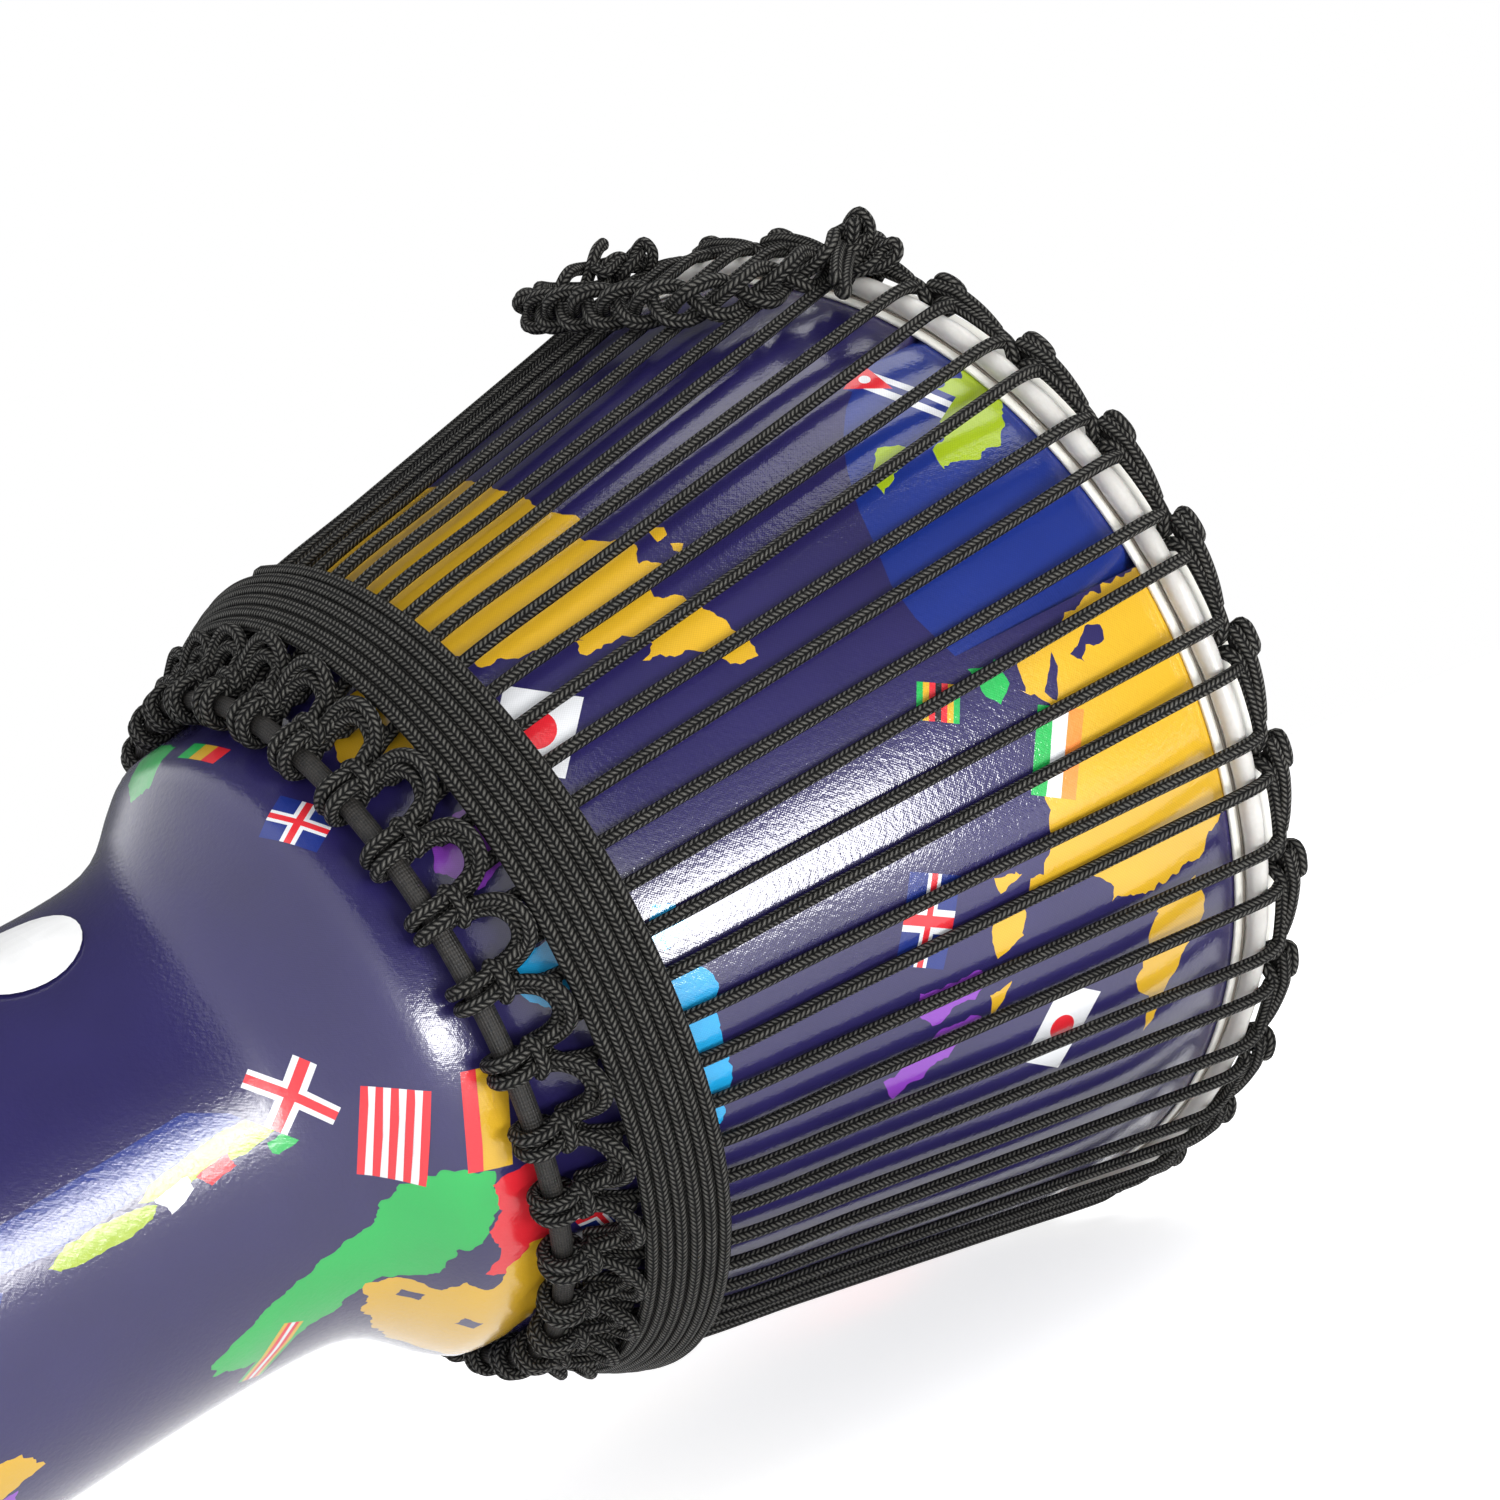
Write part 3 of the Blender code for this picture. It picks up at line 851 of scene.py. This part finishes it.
# Printed areas, in the order they are laid down: ink, how ragged the outline is in mm, and the outline as
# azimuth and height in mm
AREAS = [
    ("royal", 0.0, [(236, 560), (237, 520), (240, 508), (243, 500), (246, 495), (250, 490), (254, 487),
        (258, 484), (262, 484), (267, 487), (268, 560)]),
    ("royal", 0.0, [(270, 250), (268, 300), (274, 312), (277, 296), (279, 262), (277, 246)]),
    ("yellow", 1.5, [(190, 392), (194, 412), (199, 427), (205, 437), (212, 441), (220, 441), (226, 441),
        (231, 443), (233, 439), (238, 445), (241, 443), (243, 447), (245, 440), (247, 445), (250, 448),
        (254, 449), (257, 449), (256, 443), (253, 438), (251, 428), (249, 432), (247, 425), (246, 418),
        (244, 421), (243, 414), (242, 407), (240, 400), (236, 397), (228, 395), (216, 391), (202, 388)]),
    ("yellow", 0.5, [(238, 451), (239, 454), (240, 453), (240, 450)]),
    ("yellow", 0.5, [(241, 452), (242, 454), (243, 452), (242, 451)]),
    ("yellow", 1.3, [(268, 545), (268, 525), (269.5, 510), (270.5, 499), (273, 496), (275, 501),
        (278.5, 500), (281.5, 491), (284, 492), (286.5, 489), (289.5, 486), (290, 482), (292, 489),
        (291, 495), (293.5, 502), (295.5, 502), (296, 515), (295, 530), (293, 537), (290, 545)]),
    ("navy", 0.7, [(270.5, 519), (271, 523), (272.5, 522), (272, 517), (273.5, 514), (272, 512)]),
    ("navy", 0.5, [(271, 508), (272.5, 508), (275, 504), (274, 502)]),
    ("yellow", 1.2, [(298, 514), (297, 527), (300, 530), (303, 525), (306, 519), (312, 511), (309, 513),
        (305, 507), (302, 511)]),
    ("yellow", 1.0, [(291, 473), (292, 479), (295, 478), (296, 470), (293.5, 470)]),
    ("yellow", 0.7, [(288, 474), (288, 480), (289, 481), (289.5, 475)]),
    ("lime", 1.0, [(243, 526), (243, 545), (247, 545), (250, 536), (251.5, 530), (252, 522), (251, 513),
        (249, 515), (248, 522), (246, 522)]),
    ("lime", 1.0, [(245.5, 505), (247, 510), (249, 508), (249, 503), (250, 497), (248, 498)]),
    ("green", 0.8, [(268.5, 488), (269, 495), (271.5, 495), (273, 491), (271, 489)]),
    ("purple", 1.0, [(296.5, 450), (296, 461), (297.5, 466), (299, 463), (300, 452), (298.5, 449)]),
    ("purple", 1.0, [(302, 449), (301, 458), (301.5, 464), (303, 462), (304, 456), (306, 448),
        (307.5, 440), (305, 438)]),
    ("yellow", 0.6, [(299.5, 467), (299, 473), (301, 471), (302, 467)]),
    ("cyan", 1.3, [(282, 386), (281, 402), (284, 405), (287, 404), (290, 402), (293, 404), (297, 401),
        (301, 398), (301, 386), (292, 384)]),
    ("cyan", 0.9, [(274, 399), (275, 404), (278, 404), (279, 398), (277, 396)]),
    ("cyan", 1.0, [(272, 370), (272, 380), (278, 382), (280, 374), (276, 369)]),
    ("purple", 1.0, [(252, 370), (253, 380), (260, 381), (262, 373), (257, 368)]),
    ("yellow", 1.0, [(227, 371), (231, 384), (238, 381), (245, 377), (241, 370), (234, 368)]),
    ("green", 1.4, [(296, 344), (299, 350), (304, 351), (308, 347), (311, 344), (312, 340), (317, 338),
        (319, 334), (320, 326), (323, 320), (327, 315), (329, 306), (331, 298), (330, 290), (326, 284),
        (322, 284), (318, 292), (314, 302), (311, 312), (308, 320), (305, 327), (301, 330), (298, 334)]),
    ("red", 1.2, [(301, 350), (300, 358), (301, 364), (310, 366), (318, 364), (317, 356), (320, 350),
        (318, 345), (313, 349), (309, 347), (306, 351)]),
    ("yellow", 1.2, [(321, 323), (320, 330), (323, 337), (320, 341), (322, 346), (318, 350), (315, 356),
        (316, 364), (330, 364), (345, 354), (354, 342), (350, 330), (340, 325), (330, 322)]),
    ("navy", 0.6, [(324, 330), (325, 334), (327, 333), (326, 329)]),
    ("navy", 0.6, [(331, 341), (333, 345), (335, 343), (334, 339)]),
    ("lime", 1.0, [(277, 286), (275, 300), (275, 312), (277, 319), (279, 316), (281, 308), (280, 300),
        (281, 290), (279, 283)]),
    ("lime", 1.0, [(279, 266), (279, 280), (281, 286), (283, 284), (284, 272), (283, 262), (281, 260)]),
    ("red", 0.8, [(280, 296), (279, 304), (282, 305), (283, 298)]),
    ("green", 0.7, [(281, 313), (280, 322), (283, 324), (284, 314)]),
    ("white", 0.7, [(280, 286), (279, 294), (282, 295), (284, 288)]),
    ("yellow", 1.2, [(311, 226), (313, 240), (319, 243), (322, 231), (317, 222)]),
    ("purple", 1.0, [(321, 224), (322, 236), (328, 234), (327, 222)]),
    ("green", 1.0, [(192, 340), (194, 352), (203, 350), (204, 340), (198, 336)]),
]

# Printed patches: azimuth, height, width and depth in mm, slant in degrees, and the bands that make them up
PATCHES = [
    (241.5, 522, 25, 11, 22, "pennant", ("royal", "white", "royal", "white", "royal")),
    (270.0, 478, 10.5, 9, 58, "bands", ("green", "yellow", "red", "black", "red", "yellow", "green")),
    (279.5, 499, 12, 21, 60, "bands", ("green", "white", "orange")),
    (289.0, 456, 13, 22, 62, "cross", ("royal", "white", "red")),
    (307.0, 486, 13, 22, 58, "disc", ("white", "red")),
    (250.5, 399, 18, 20, 42, "disc", ("white", "red")),
    (275.0, 322, 22, 17, 40, "cross", ("navy", "white", "red")),
    (288.5, 336, 16, 23, 66, "bands",
     ("red", "white", "red", "white", "red", "white", "red", "white", "red")),
    (291.0, 354, 11, 24, 74, "bands", ("red", "yellow", "yellow")),
    (312.0, 371, 13, 12, 30, "cross", ("royal", "white", "red")),
    (238.5, 352, 15, 12, 30, "cross", ("royal", "white", "red")),
    (212.0, 351, 15, 6, 10, "bands", ("green", "yellow", "red")),
    (331.0, 299, 8, 21, 55, "bands", ("green", "yellow", "red", "white", "red", "yellow", "green")),
    (280.0, 237, 22, 16, 50, "cross", ("royal", "white", "white")),
]

SEAM = 100.0  # azimuth where the print's two ends meet, on the side away from the photograph
UNROLL = 0.1  # metres of unrolled width for each radian
PRINT_STRETCH = 1.3  # widens the unrolled print's UVs, so that the weave isn't drawn out round the bowl


def flat(azimuth, arc):
    return ((math.radians(azimuth - SEAM)) * UNROLL, arc)


def ragged(outline, amount):
    """An outline in the flat print with its edges broken up like a coast."""
    if amount <= 0:
        return outline
    broken = []
    for (x0, y0), (x1, y1) in zip(outline, outline[1:] + outline[:1]):
        length = math.hypot(x1 - x0, y1 - y0)
        count = max(1, round(length / 0.0009))
        across = ((y0 - y1) / max(length, 1e-9), (x1 - x0) / max(length, 1e-9))
        for k in range(count):
            t = k / count
            x, y = x0 + (x1 - x0) * t, y0 + (y1 - y0) * t
            push = 0.0
            for octave, share in ((180.0, 1.0), (420.0, 0.6), (1000.0, 0.32)):
                push += share * noise.noise(Vector((x * octave, y * octave, 3.7)))
            push *= amount * MM * 1.3
            broken.append((x + across[0] * push, y + across[1] * push))
    return broken


def area_outline(outline, amount):
    return ragged([flat(azimuth, min(arc_at(height * MM), ARC_END)) for azimuth, height in outline], amount)


def patch_shapes(azimuth, height, width, depth, slant, kind, inks):
    """The coloured shapes of one printed patch, largest first, in the flat print."""
    arc = arc_at(height * MM)
    stretch = UNROLL / shell_radius(height * MM)
    turn = math.radians(slant)

    def put(x, y):
        x, y = x * width * MM / 2, y * depth * MM / 2
        along = x * math.cos(turn) - y * math.sin(turn)
        up = x * math.sin(turn) + y * math.cos(turn)
        x0, _ = flat(azimuth, arc)
        return (x0 + along * stretch, arc + up)

    def box(x0, y0, x1, y1):
        return [put(x0, y0), put(x1, y0), put(x1, y1), put(x0, y1)]

    def ring(x, y, radius, sides=28):
        wide, deep = radius * 2 / width, radius * 2 / depth
        angles = [2 * math.pi * k / sides for k in range(sides)]
        return [put(x + wide * math.cos(angle), y + deep * math.sin(angle)) for angle in angles]

    if kind == "disc":
        return [(inks[0], box(-1, -1, 1, 1)), (inks[1], ring(0, 0, min(width, depth) * 0.27))]
    if kind == "bands":
        step = 2 / len(inks)
        return [(ink, box(-1 + step * k, -1, -1 + step * (k + 1), 1)) for k, ink in enumerate(inks)]
    if kind == "pennant":
        step = 2 / len(inks)
        shapes = [(ink, box(-1, -1 + step * k, 1, -1 + step * (k + 1))) for k, ink in enumerate(inks)]
        shapes.append(("red", [put(-1, -1), put(-0.15, 0), put(-1, 1)]))
        return shapes + [("white", ring(-0.74, 0, 1.5, 16))]
    shapes = [(inks[0], box(-1, -1, 1, 1))]
    for wide, ink in ((0.26, inks[1]), (0.12, inks[2])):
        shapes.append((ink, box(-1, -wide, 1, wide)))
        shapes.append((ink, box(-wide, -1, wide, 1)))
    return shapes


# Where shapes go on the sides that the photograph doesn't show: azimuth, height in mm
UNSEEN_SPOTS = [
    (118, 505), (150, 470), (176, 515), (128, 430), (165, 425), (20, 500), (50, 455), (82, 510),
    (30, 420), (74, 428), (130, 340), (172, 345), (40, 345), (85, 350), (12, 300), (60, 290), (118, 285),
    (160, 300), (205, 245), (240, 210), (30, 215), (80, 200), (135, 200), (180, 190), (280, 170),
    (320, 160), (225, 130), (10, 120), (60, 110), (120, 100), (170, 90), (265, 90), (310, 70), (220, 50),
    (30, 45), (145, 40),
]
# Small patches there: azimuth, height in mm, kind, inks
UNSEEN_MARKS = [
    (140, 500, "disc", ("white", "red")), (70, 480, "bands", ("green", "white", "orange")),
    (116, 460, "bands", ("red", "yellow", "red")), (40, 478, "cross", ("royal", "white", "red")),
    (185, 490, "bands", ("black", "red", "yellow")), (150, 320, "bands", ("cyan", "white", "cyan")),
    (55, 330, "disc", ("red", "white")), (25, 260, "cross", ("red", "white", "white")),
    (115, 240, "bands", ("green", "yellow", "red")),
    (200, 170, "pennant", ("royal", "white", "royal", "white", "royal")),
    (300, 120, "bands", ("royal", "white", "red")), (90, 140, "cross", ("royal", "yellow", "yellow")),
    (340, 70, "disc", ("green", "red")), (150, 130, "bands", ("orange", "white", "green")),
]


def unseen_shapes():
    """The print carried on round the sides that the photograph doesn't show, in the same manner."""
    draw = random.Random(31)
    inks = ["yellow", "green", "cyan", "purple", "lime", "red", "orange", "yellow"]
    shapes = []
    for index, (azimuth, height) in enumerate(UNSEEN_SPOTS):
        azimuth = azimuth if azimuth >= SEAM else azimuth + 360
        size = draw.uniform(9, 20) * (1.25 if height > 400 else 0.9)
        stretch = UNROLL / shell_radius(height * MM)
        x0, y0 = flat(azimuth, arc_at(height * MM))
        outline = []
        lobes = [draw.uniform(0.55, 1.25) for _ in range(9)]
        for k, lobe in enumerate(lobes):
            angle = 2 * math.pi * k / len(lobes)
            x = x0 + size * MM * lobe * 1.25 * math.cos(angle) * stretch
            outline.append((x, y0 + size * MM * lobe * math.sin(angle)))
        shapes.append((inks[index % len(inks)], ragged(outline, 1.4)))
    for azimuth, height, kind, bands in UNSEEN_MARKS:
        azimuth = azimuth if azimuth >= SEAM + 12 else azimuth + 360
        shapes += patch_shapes(azimuth, height, 20, 14, draw.uniform(-50, 50), kind, bands)
    return shapes


def print_shapes():
    shapes = unseen_shapes()
    for ink, amount, outline in AREAS:
        shapes.append((ink, area_outline(outline, amount)))
    for patch in PATCHES:
        shapes += patch_shapes(*patch)
    return shapes


def inside_outline(spots, outline):
    """Which of the spots lie inside a closed outline."""
    near = np.all((spots >= outline.min(axis=0)) & (spots <= outline.max(axis=0)), axis=1)
    chosen = spots[near]
    crossed = np.zeros(len(chosen), bool)
    for (x0, y0), (x1, y1) in zip(outline, np.roll(outline, -1, axis=0)):
        if y0 == y1:
            continue
        spans = (chosen[:, 1] < y0) != (chosen[:, 1] < y1)
        crossed ^= spans & (chosen[:, 0] < x0 + (x1 - x0) * (chosen[:, 1] - y0) / (y1 - y0))
    near[near] = crossed
    return near


SHELL_COLUMNS = 180
SHELL_ROWS = 110
INNER_ROWS = 60


def cut_print():
    """The unrolled print in triangles cut along every shape's edge: its points, its faces and their inks."""
    width = FULL_TURN * UNROLL
    arcs = [ARC_END * row / SHELL_ROWS for row in range(SHELL_ROWS + 1)]
    points = [(width * column / SHELL_COLUMNS, arc) for arc in arcs for column in range(SHELL_COLUMNS + 1)]
    stride = SHELL_COLUMNS + 1
    last = SHELL_ROWS * stride
    rim = list(range(stride))
    rim += [row * stride + SHELL_COLUMNS for row in range(1, SHELL_ROWS + 1)]
    rim += [last + column for column in range(SHELL_COLUMNS - 1, -1, -1)]
    rim += [row * stride for row in range(SHELL_ROWS - 1, 0, -1)]
    edges = list(zip(rim, rim[1:] + rim[:1]))
    shapes = []
    for ink, outline in print_shapes():
        inside_print = [
            (min(max(x, 0.0005), width - 0.0005), min(max(y, 0.0004), ARC_END - 0.0004)) for x, y in outline
        ]
        numbers = list(range(len(points), len(points) + len(inside_print)))
        edges += zip(numbers, numbers[1:] + numbers[:1])
        points += inside_print
        shapes.append((ink, np.array(inside_print)))
    placed, _, faces, _, _, _ = delaunay_2d_cdt([Vector(point) for point in points], edges, [], 0, 1e-7, True)
    spots = np.array([tuple(point) for point in placed])

    names = list(INKS)
    middles = np.array([spots[list(face)].mean(axis=0) for face in faces])
    colours = np.full(len(faces), names.index("navy"))
    for ink, outline in shapes:
        colours[inside_outline(middles, outline)] = names.index(ink)
    return spots, faces, colours


def roll_print(spots):
    """Where the print's points lie round the shell, and which way the shell faces there."""
    angle = np.radians(np.degrees(spots[:, 0] / UNROLL) + SEAM)
    radius = np.interp(spots[:, 1], ARC, OUTLINE[:, 0])
    height = np.interp(spots[:, 1], ARC, OUTLINE[:, 1])
    out_r = np.interp(spots[:, 1], ARC, OUTWARD[:, 0])
    out_z = np.interp(spots[:, 1], ARC, OUTWARD[:, 1])
    outer = np.stack([radius * np.cos(angle), radius * np.sin(angle), height], 1)
    return outer, np.stack([out_r * np.cos(angle), out_r * np.sin(angle), out_z], 1)


class SharedPoints:
    """Points kept once each, with the direction that each faced when it was first used."""

    def __init__(self):
        self.points, self.facing, self.numbers = [], [], {}

    def number(self, position, direction):
        key = tuple(np.round(position, 7))
        if key not in self.numbers:
            self.numbers[key] = len(self.points)
            self.points.append(tuple(position))
            self.facing.append(direction)
        return self.numbers[key]


def inner_wall(shared):
    """Rows of points up the shell's inside, from the foot to the lip, which are both cut level."""
    rows = []
    for step, arc in enumerate(np.linspace(0.0, ARC_END, INNER_ROWS)):
        row = []
        for column in range(SHELL_COLUMNS):
            azimuth = SEAM + 360 * column / SHELL_COLUMNS
            if step in (0, INNER_ROWS - 1):
                radius = np.interp(arc, ARC, OUTLINE[:, 0]) - WALL
                place = polar(azimuth, radius, np.interp(arc, ARC, OUTLINE[:, 1]))
            else:
                place = off_shell(azimuth, arc, -WALL)
            away = -np.array((math.cos(math.radians(azimuth)), math.sin(math.radians(azimuth)), 0.0))
            row.append(shared.number(place, away))
        rows.append(row)
    return rows


def strip(low, high):
    """The four-sided faces between two rings of points."""
    nexts = [(k, (k + 1) % SHELL_COLUMNS) for k in range(SHELL_COLUMNS)]
    return [[low[m], low[k], high[k], high[m]] for k, m in nexts]


def make_shell(inside):
    """The shell: its printed outside cut along every colour's edge, its lip, and its plain inside."""
    spots, triangles, colours = cut_print()
    shared = SharedPoints()
    ids = [shared.number(place, direction) for place, direction in zip(*roll_print(spots))]
    faces, slots, uvs = [], [], []
    for triangle, colour in zip(triangles, colours):
        corners = [ids[k] for k in triangle]
        if len(set(corners)) == 3:
            faces.append(corners)
            slots.append(int(colour))
            uvs += [(spots[k][0] * PRINT_STRETCH, spots[k][1]) for k in triangle]
    printed = len(faces)

    rows = inner_wall(shared)
    for low, high in zip(rows, rows[1:]):
        faces += strip(low, high)
    for arc, row, is_lip in ((0.0, rows[0], False), (ARC_END, rows[-1], True)):
        edge = [
            shared.number(off_shell(SEAM + 360 * column / SHELL_COLUMNS, arc), np.array((0.0, 0.0, -1.0)))
            for column in range(SHELL_COLUMNS)
        ]
        faces += [face[::-1] if is_lip else face for face in strip(edge, row)]
    slots += [len(INKS)] * (len(faces) - printed)
    uvs += [(0.0, 0.0)] * 4 * (len(faces) - printed)

    finishes = [print_material("ink_" + name, INKS[name], 1.35 if name == "navy" else 1.08) for name in INKS]
    item = mesh_object("printed_shell_skin", shared.points, faces, finishes + [inside])
    mesh = item.data
    layer = mesh.uv_layers.new(name="unrolled")
    layer.data.foreach_set("uv", np.array(uvs, np.float32).ravel())
    mesh.polygons.foreach_set("material_index", slots)
    corner_normals = []
    for number, face in enumerate(faces):
        corner_normals += [tuple(shared.facing[k]) if number < printed else (0.0, 0.0, 0.0) for k in face]
    mesh.normals_split_custom_set(corner_normals)
    settle(item, "drum", "printed_shell", "shell")


# ---------------------------------------------------------------- studio

def plain_stage(name, corners, shade, far_glow=None):
    """A white sheet seen only from its front, which glows as well as being lit; with far_glow its glow is
    painted light that grows far away, to end in white.
    """
    mesh = bpy.data.meshes.new(name)
    mesh.from_pydata(corners, [], [tuple(range(len(corners)))])
    item = bpy.data.objects.new(name, mesh)
    bpy.context.scene.collection.objects.link(item)
    make = Nodes(name)
    make.finish(colour=(0.86, 0.86, 0.87, 1.0), roughness=0.9)
    make.shader.inputs["Emission Color"].default_value = (1.0, 1.0, 1.0, 1.0)
    make.shader.inputs["Emission Strength"].default_value = shade
    if far_glow is not None:
        distance = make.add("ShaderNodeVectorMath", operation="LENGTH")
        make.link(make.place(), distance.inputs[0])
        fade = make.add("ShaderNodeMapRange", interpolation_type="SMOOTHSTEP")
        for key, value in (("From Min", 0.35), ("From Max", 2.2), ("To Min", shade), ("To Max", far_glow)):
            fade.inputs[key].default_value = value
        make.link(distance.outputs["Value"], fade.inputs["Value"])
        make.link(fade.outputs["Result"], make.shader.inputs["Emission Strength"])
    clear = make.add("ShaderNodeBsdfTransparent")
    mix = make.add("ShaderNodeMixShader")
    make.link(make.add("ShaderNodeNewGeometry").outputs["Backfacing"], mix.inputs[0])
    make.link(make.shader.outputs[0], mix.inputs[1])
    make.link(clear.outputs[0], mix.inputs[2])
    make.link(mix.outputs[0], make.tree.nodes["Material Output"].inputs["Surface"])
    mesh.materials.append(make.material)


def make_studio():
    # The table that the drum lies on touches its side from the foot to the crown
    foot, crown = np.array((0.1035, 0.0, 0.0)), np.array((0.1668, 0.0, 0.552))
    along = (crown - foot) / np.linalg.norm(crown - foot)
    wide = np.array((0.0, 1.0, 0.0))
    # The sheet ends short of the softbox, which the gloss reflects past its edge
    near, far = wide * -0.40, wide * 5
    table = [foot - along * 4 + far, foot - along * 4 + near, foot + along * 5 + near, foot + along * 5 + far]
    plain_stage("table", [tuple(corner) for corner in table], 0.72)
    # The floor's glow is painted light: faint near the drum and brighter far away
    plain_stage("floor", [(-6, -6, -0.0005), (6, -6, -0.0005), (6, 6, -0.0005), (-6, 6, -0.0005)], 0.30, 0.85)

    world = bpy.data.worlds.new("studio")
    world.use_nodes = True
    tree = world.node_tree
    tree.nodes.clear()

    def background(colour, strength):
        node = tree.nodes.new("ShaderNodeBackground")
        node.inputs["Color"].default_value = (*colour, 1.0)
        node.inputs["Strength"].default_value = strength
        return node

    seen = background((1.0, 1.0, 1.0), 1.0)
    felt = background((0.96, 0.98, 1.0), 0.36)
    mirrored = background((0.96, 0.98, 1.0), 0.14)
    path = tree.nodes.new("ShaderNodeLightPath")
    lit, mix = (tree.nodes.new("ShaderNodeMixShader") for _ in range(2))
    out = tree.nodes.new("ShaderNodeOutputWorld")
    tree.links.new(path.outputs["Is Camera Ray"], mix.inputs[0])
    tree.links.new(path.outputs["Is Glossy Ray"], lit.inputs[0])
    tree.links.new(felt.outputs[0], lit.inputs[1])
    tree.links.new(mirrored.outputs[0], lit.inputs[2])
    tree.links.new(lit.outputs[0], mix.inputs[1])
    tree.links.new(seen.outputs[0], mix.inputs[2])
    tree.links.new(mix.outputs[0], out.inputs["Surface"])
    bpy.context.scene.world = world

    lights = [
        # name, place, target, width, height, power
        ("window", (0.45, -1.62, 0.375), (0.0, -0.10, 0.375), 0.56, 0.63, 24.0),
        ("top_fill", (-1.10, -0.50, 1.30), (0.0, 0.0, 0.40), 1.20, 1.20, 8.0),
    ]
    for name, place, target, width, height, power in lights:
        data = bpy.data.lights.new(name, "AREA")
        data.shape = "RECTANGLE"
        data.size, data.size_y, data.energy = width, height, power
        item = bpy.data.objects.new(name, data)
        item.location = place
        item.rotation_euler = (Vector(target) - Vector(place)).to_track_quat("-Z", "Y").to_euler()
        item.visible_camera = False
        bpy.context.scene.collection.objects.link(item)
    bpy.context.scene.view_settings.view_transform = "Standard"
    bpy.context.scene.view_settings.look = "None"


# ---------------------------------------------------------------- everything, camera and cords first

make_camera()
BRAID = braid_material("braided_rope", (0.0006, 0.0006, 0.0007), (0.105, 0.102, 0.092))
make_handle(BRAID)
make_lacing(BRAID)
make_crown_cradle(BRAID)
make_lower_cradle(BRAID)
make_wrap(BRAID)
make_handle_knot("front_lashing", FRONT_KNOT, BRAID, "handle_knot_front", -8.0, [
    [(-9.5, -3.4, 0), (-5.5, -4.8, 1), (-1.6, -4.4, 1.5), (1.3, -1.7, 2), (-0.8, 1.4, 2.5),
     (-5, 2.2, 2.5), (-9.2, 3.2, 2)],
    [(-9, 2.5, 0), (-5.4, 6.6, 2), (-3.8, 10.0, 3), (-5.8, 11.6, 2.4), (-8.6, 9.6, 0.6), (-10, 6, -1)],
    [(-6.4, 1, -3), (-6.8, 5, -8.5), (-8.6, 10, -14.5), (-10.2, 12.6, -17), (-11, 9, -15),
     (-9.6, 4.6, -9.6), (-8.6, 0, -4)],
    [(-5.4, -2, -2.5), (-4.8, 1.6, -8.2), (-6.4, 5.8, -13.6), (-8.0, 8.2, -16), (-9.4, 5.2, -13),
     (-9, 0.6, -7.4)],
])
make_handle_knot("back_lashing", BACK_KNOT, BRAID, "handle_knot_back", -5.0, [
    [(-7, 3, -1), (-3, 6, 1), (-2, 9, 2.6), (-5.4, 10, 3.6), (-8.6, 7.5, 3.4), (-9.5, 4, 3)],
    [(-5, -3, -2), (-1.6, -4.6, -5), (-2.8, -1, -9.6), (-5.4, 2, -9), (-4, 3, -4)],
])

CLOTH = cloth_cover_material()
make_rings(CLOTH)
# The skin over the flesh hoop is a darker copy of the head's hide: its greyness is painted shade
SHADED_HIDE = hide_material("white_hide_painted_shade", (0.44, 0.42, 0.395), (0.60, 0.58, 0.555), 40.0, 0.28)
HEAD = hide_material("head_face", (0.70, 0.66, 0.58), (0.88, 0.86, 0.80), 16.0, 0.42)
SEAM_LINE = hide_material("seam_brown", (0.17, 0.14, 0.11), (0.32, 0.28, 0.23), 90.0, 0.45)
make_head(HEAD, SEAM_LINE)
make_flesh_band(SHADED_HIDE)
make_foot(rubber_material())
make_shell(fibreglass_material())

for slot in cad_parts["maker_label"].material_slots:
    slot.material = paper_material()

make_studio()
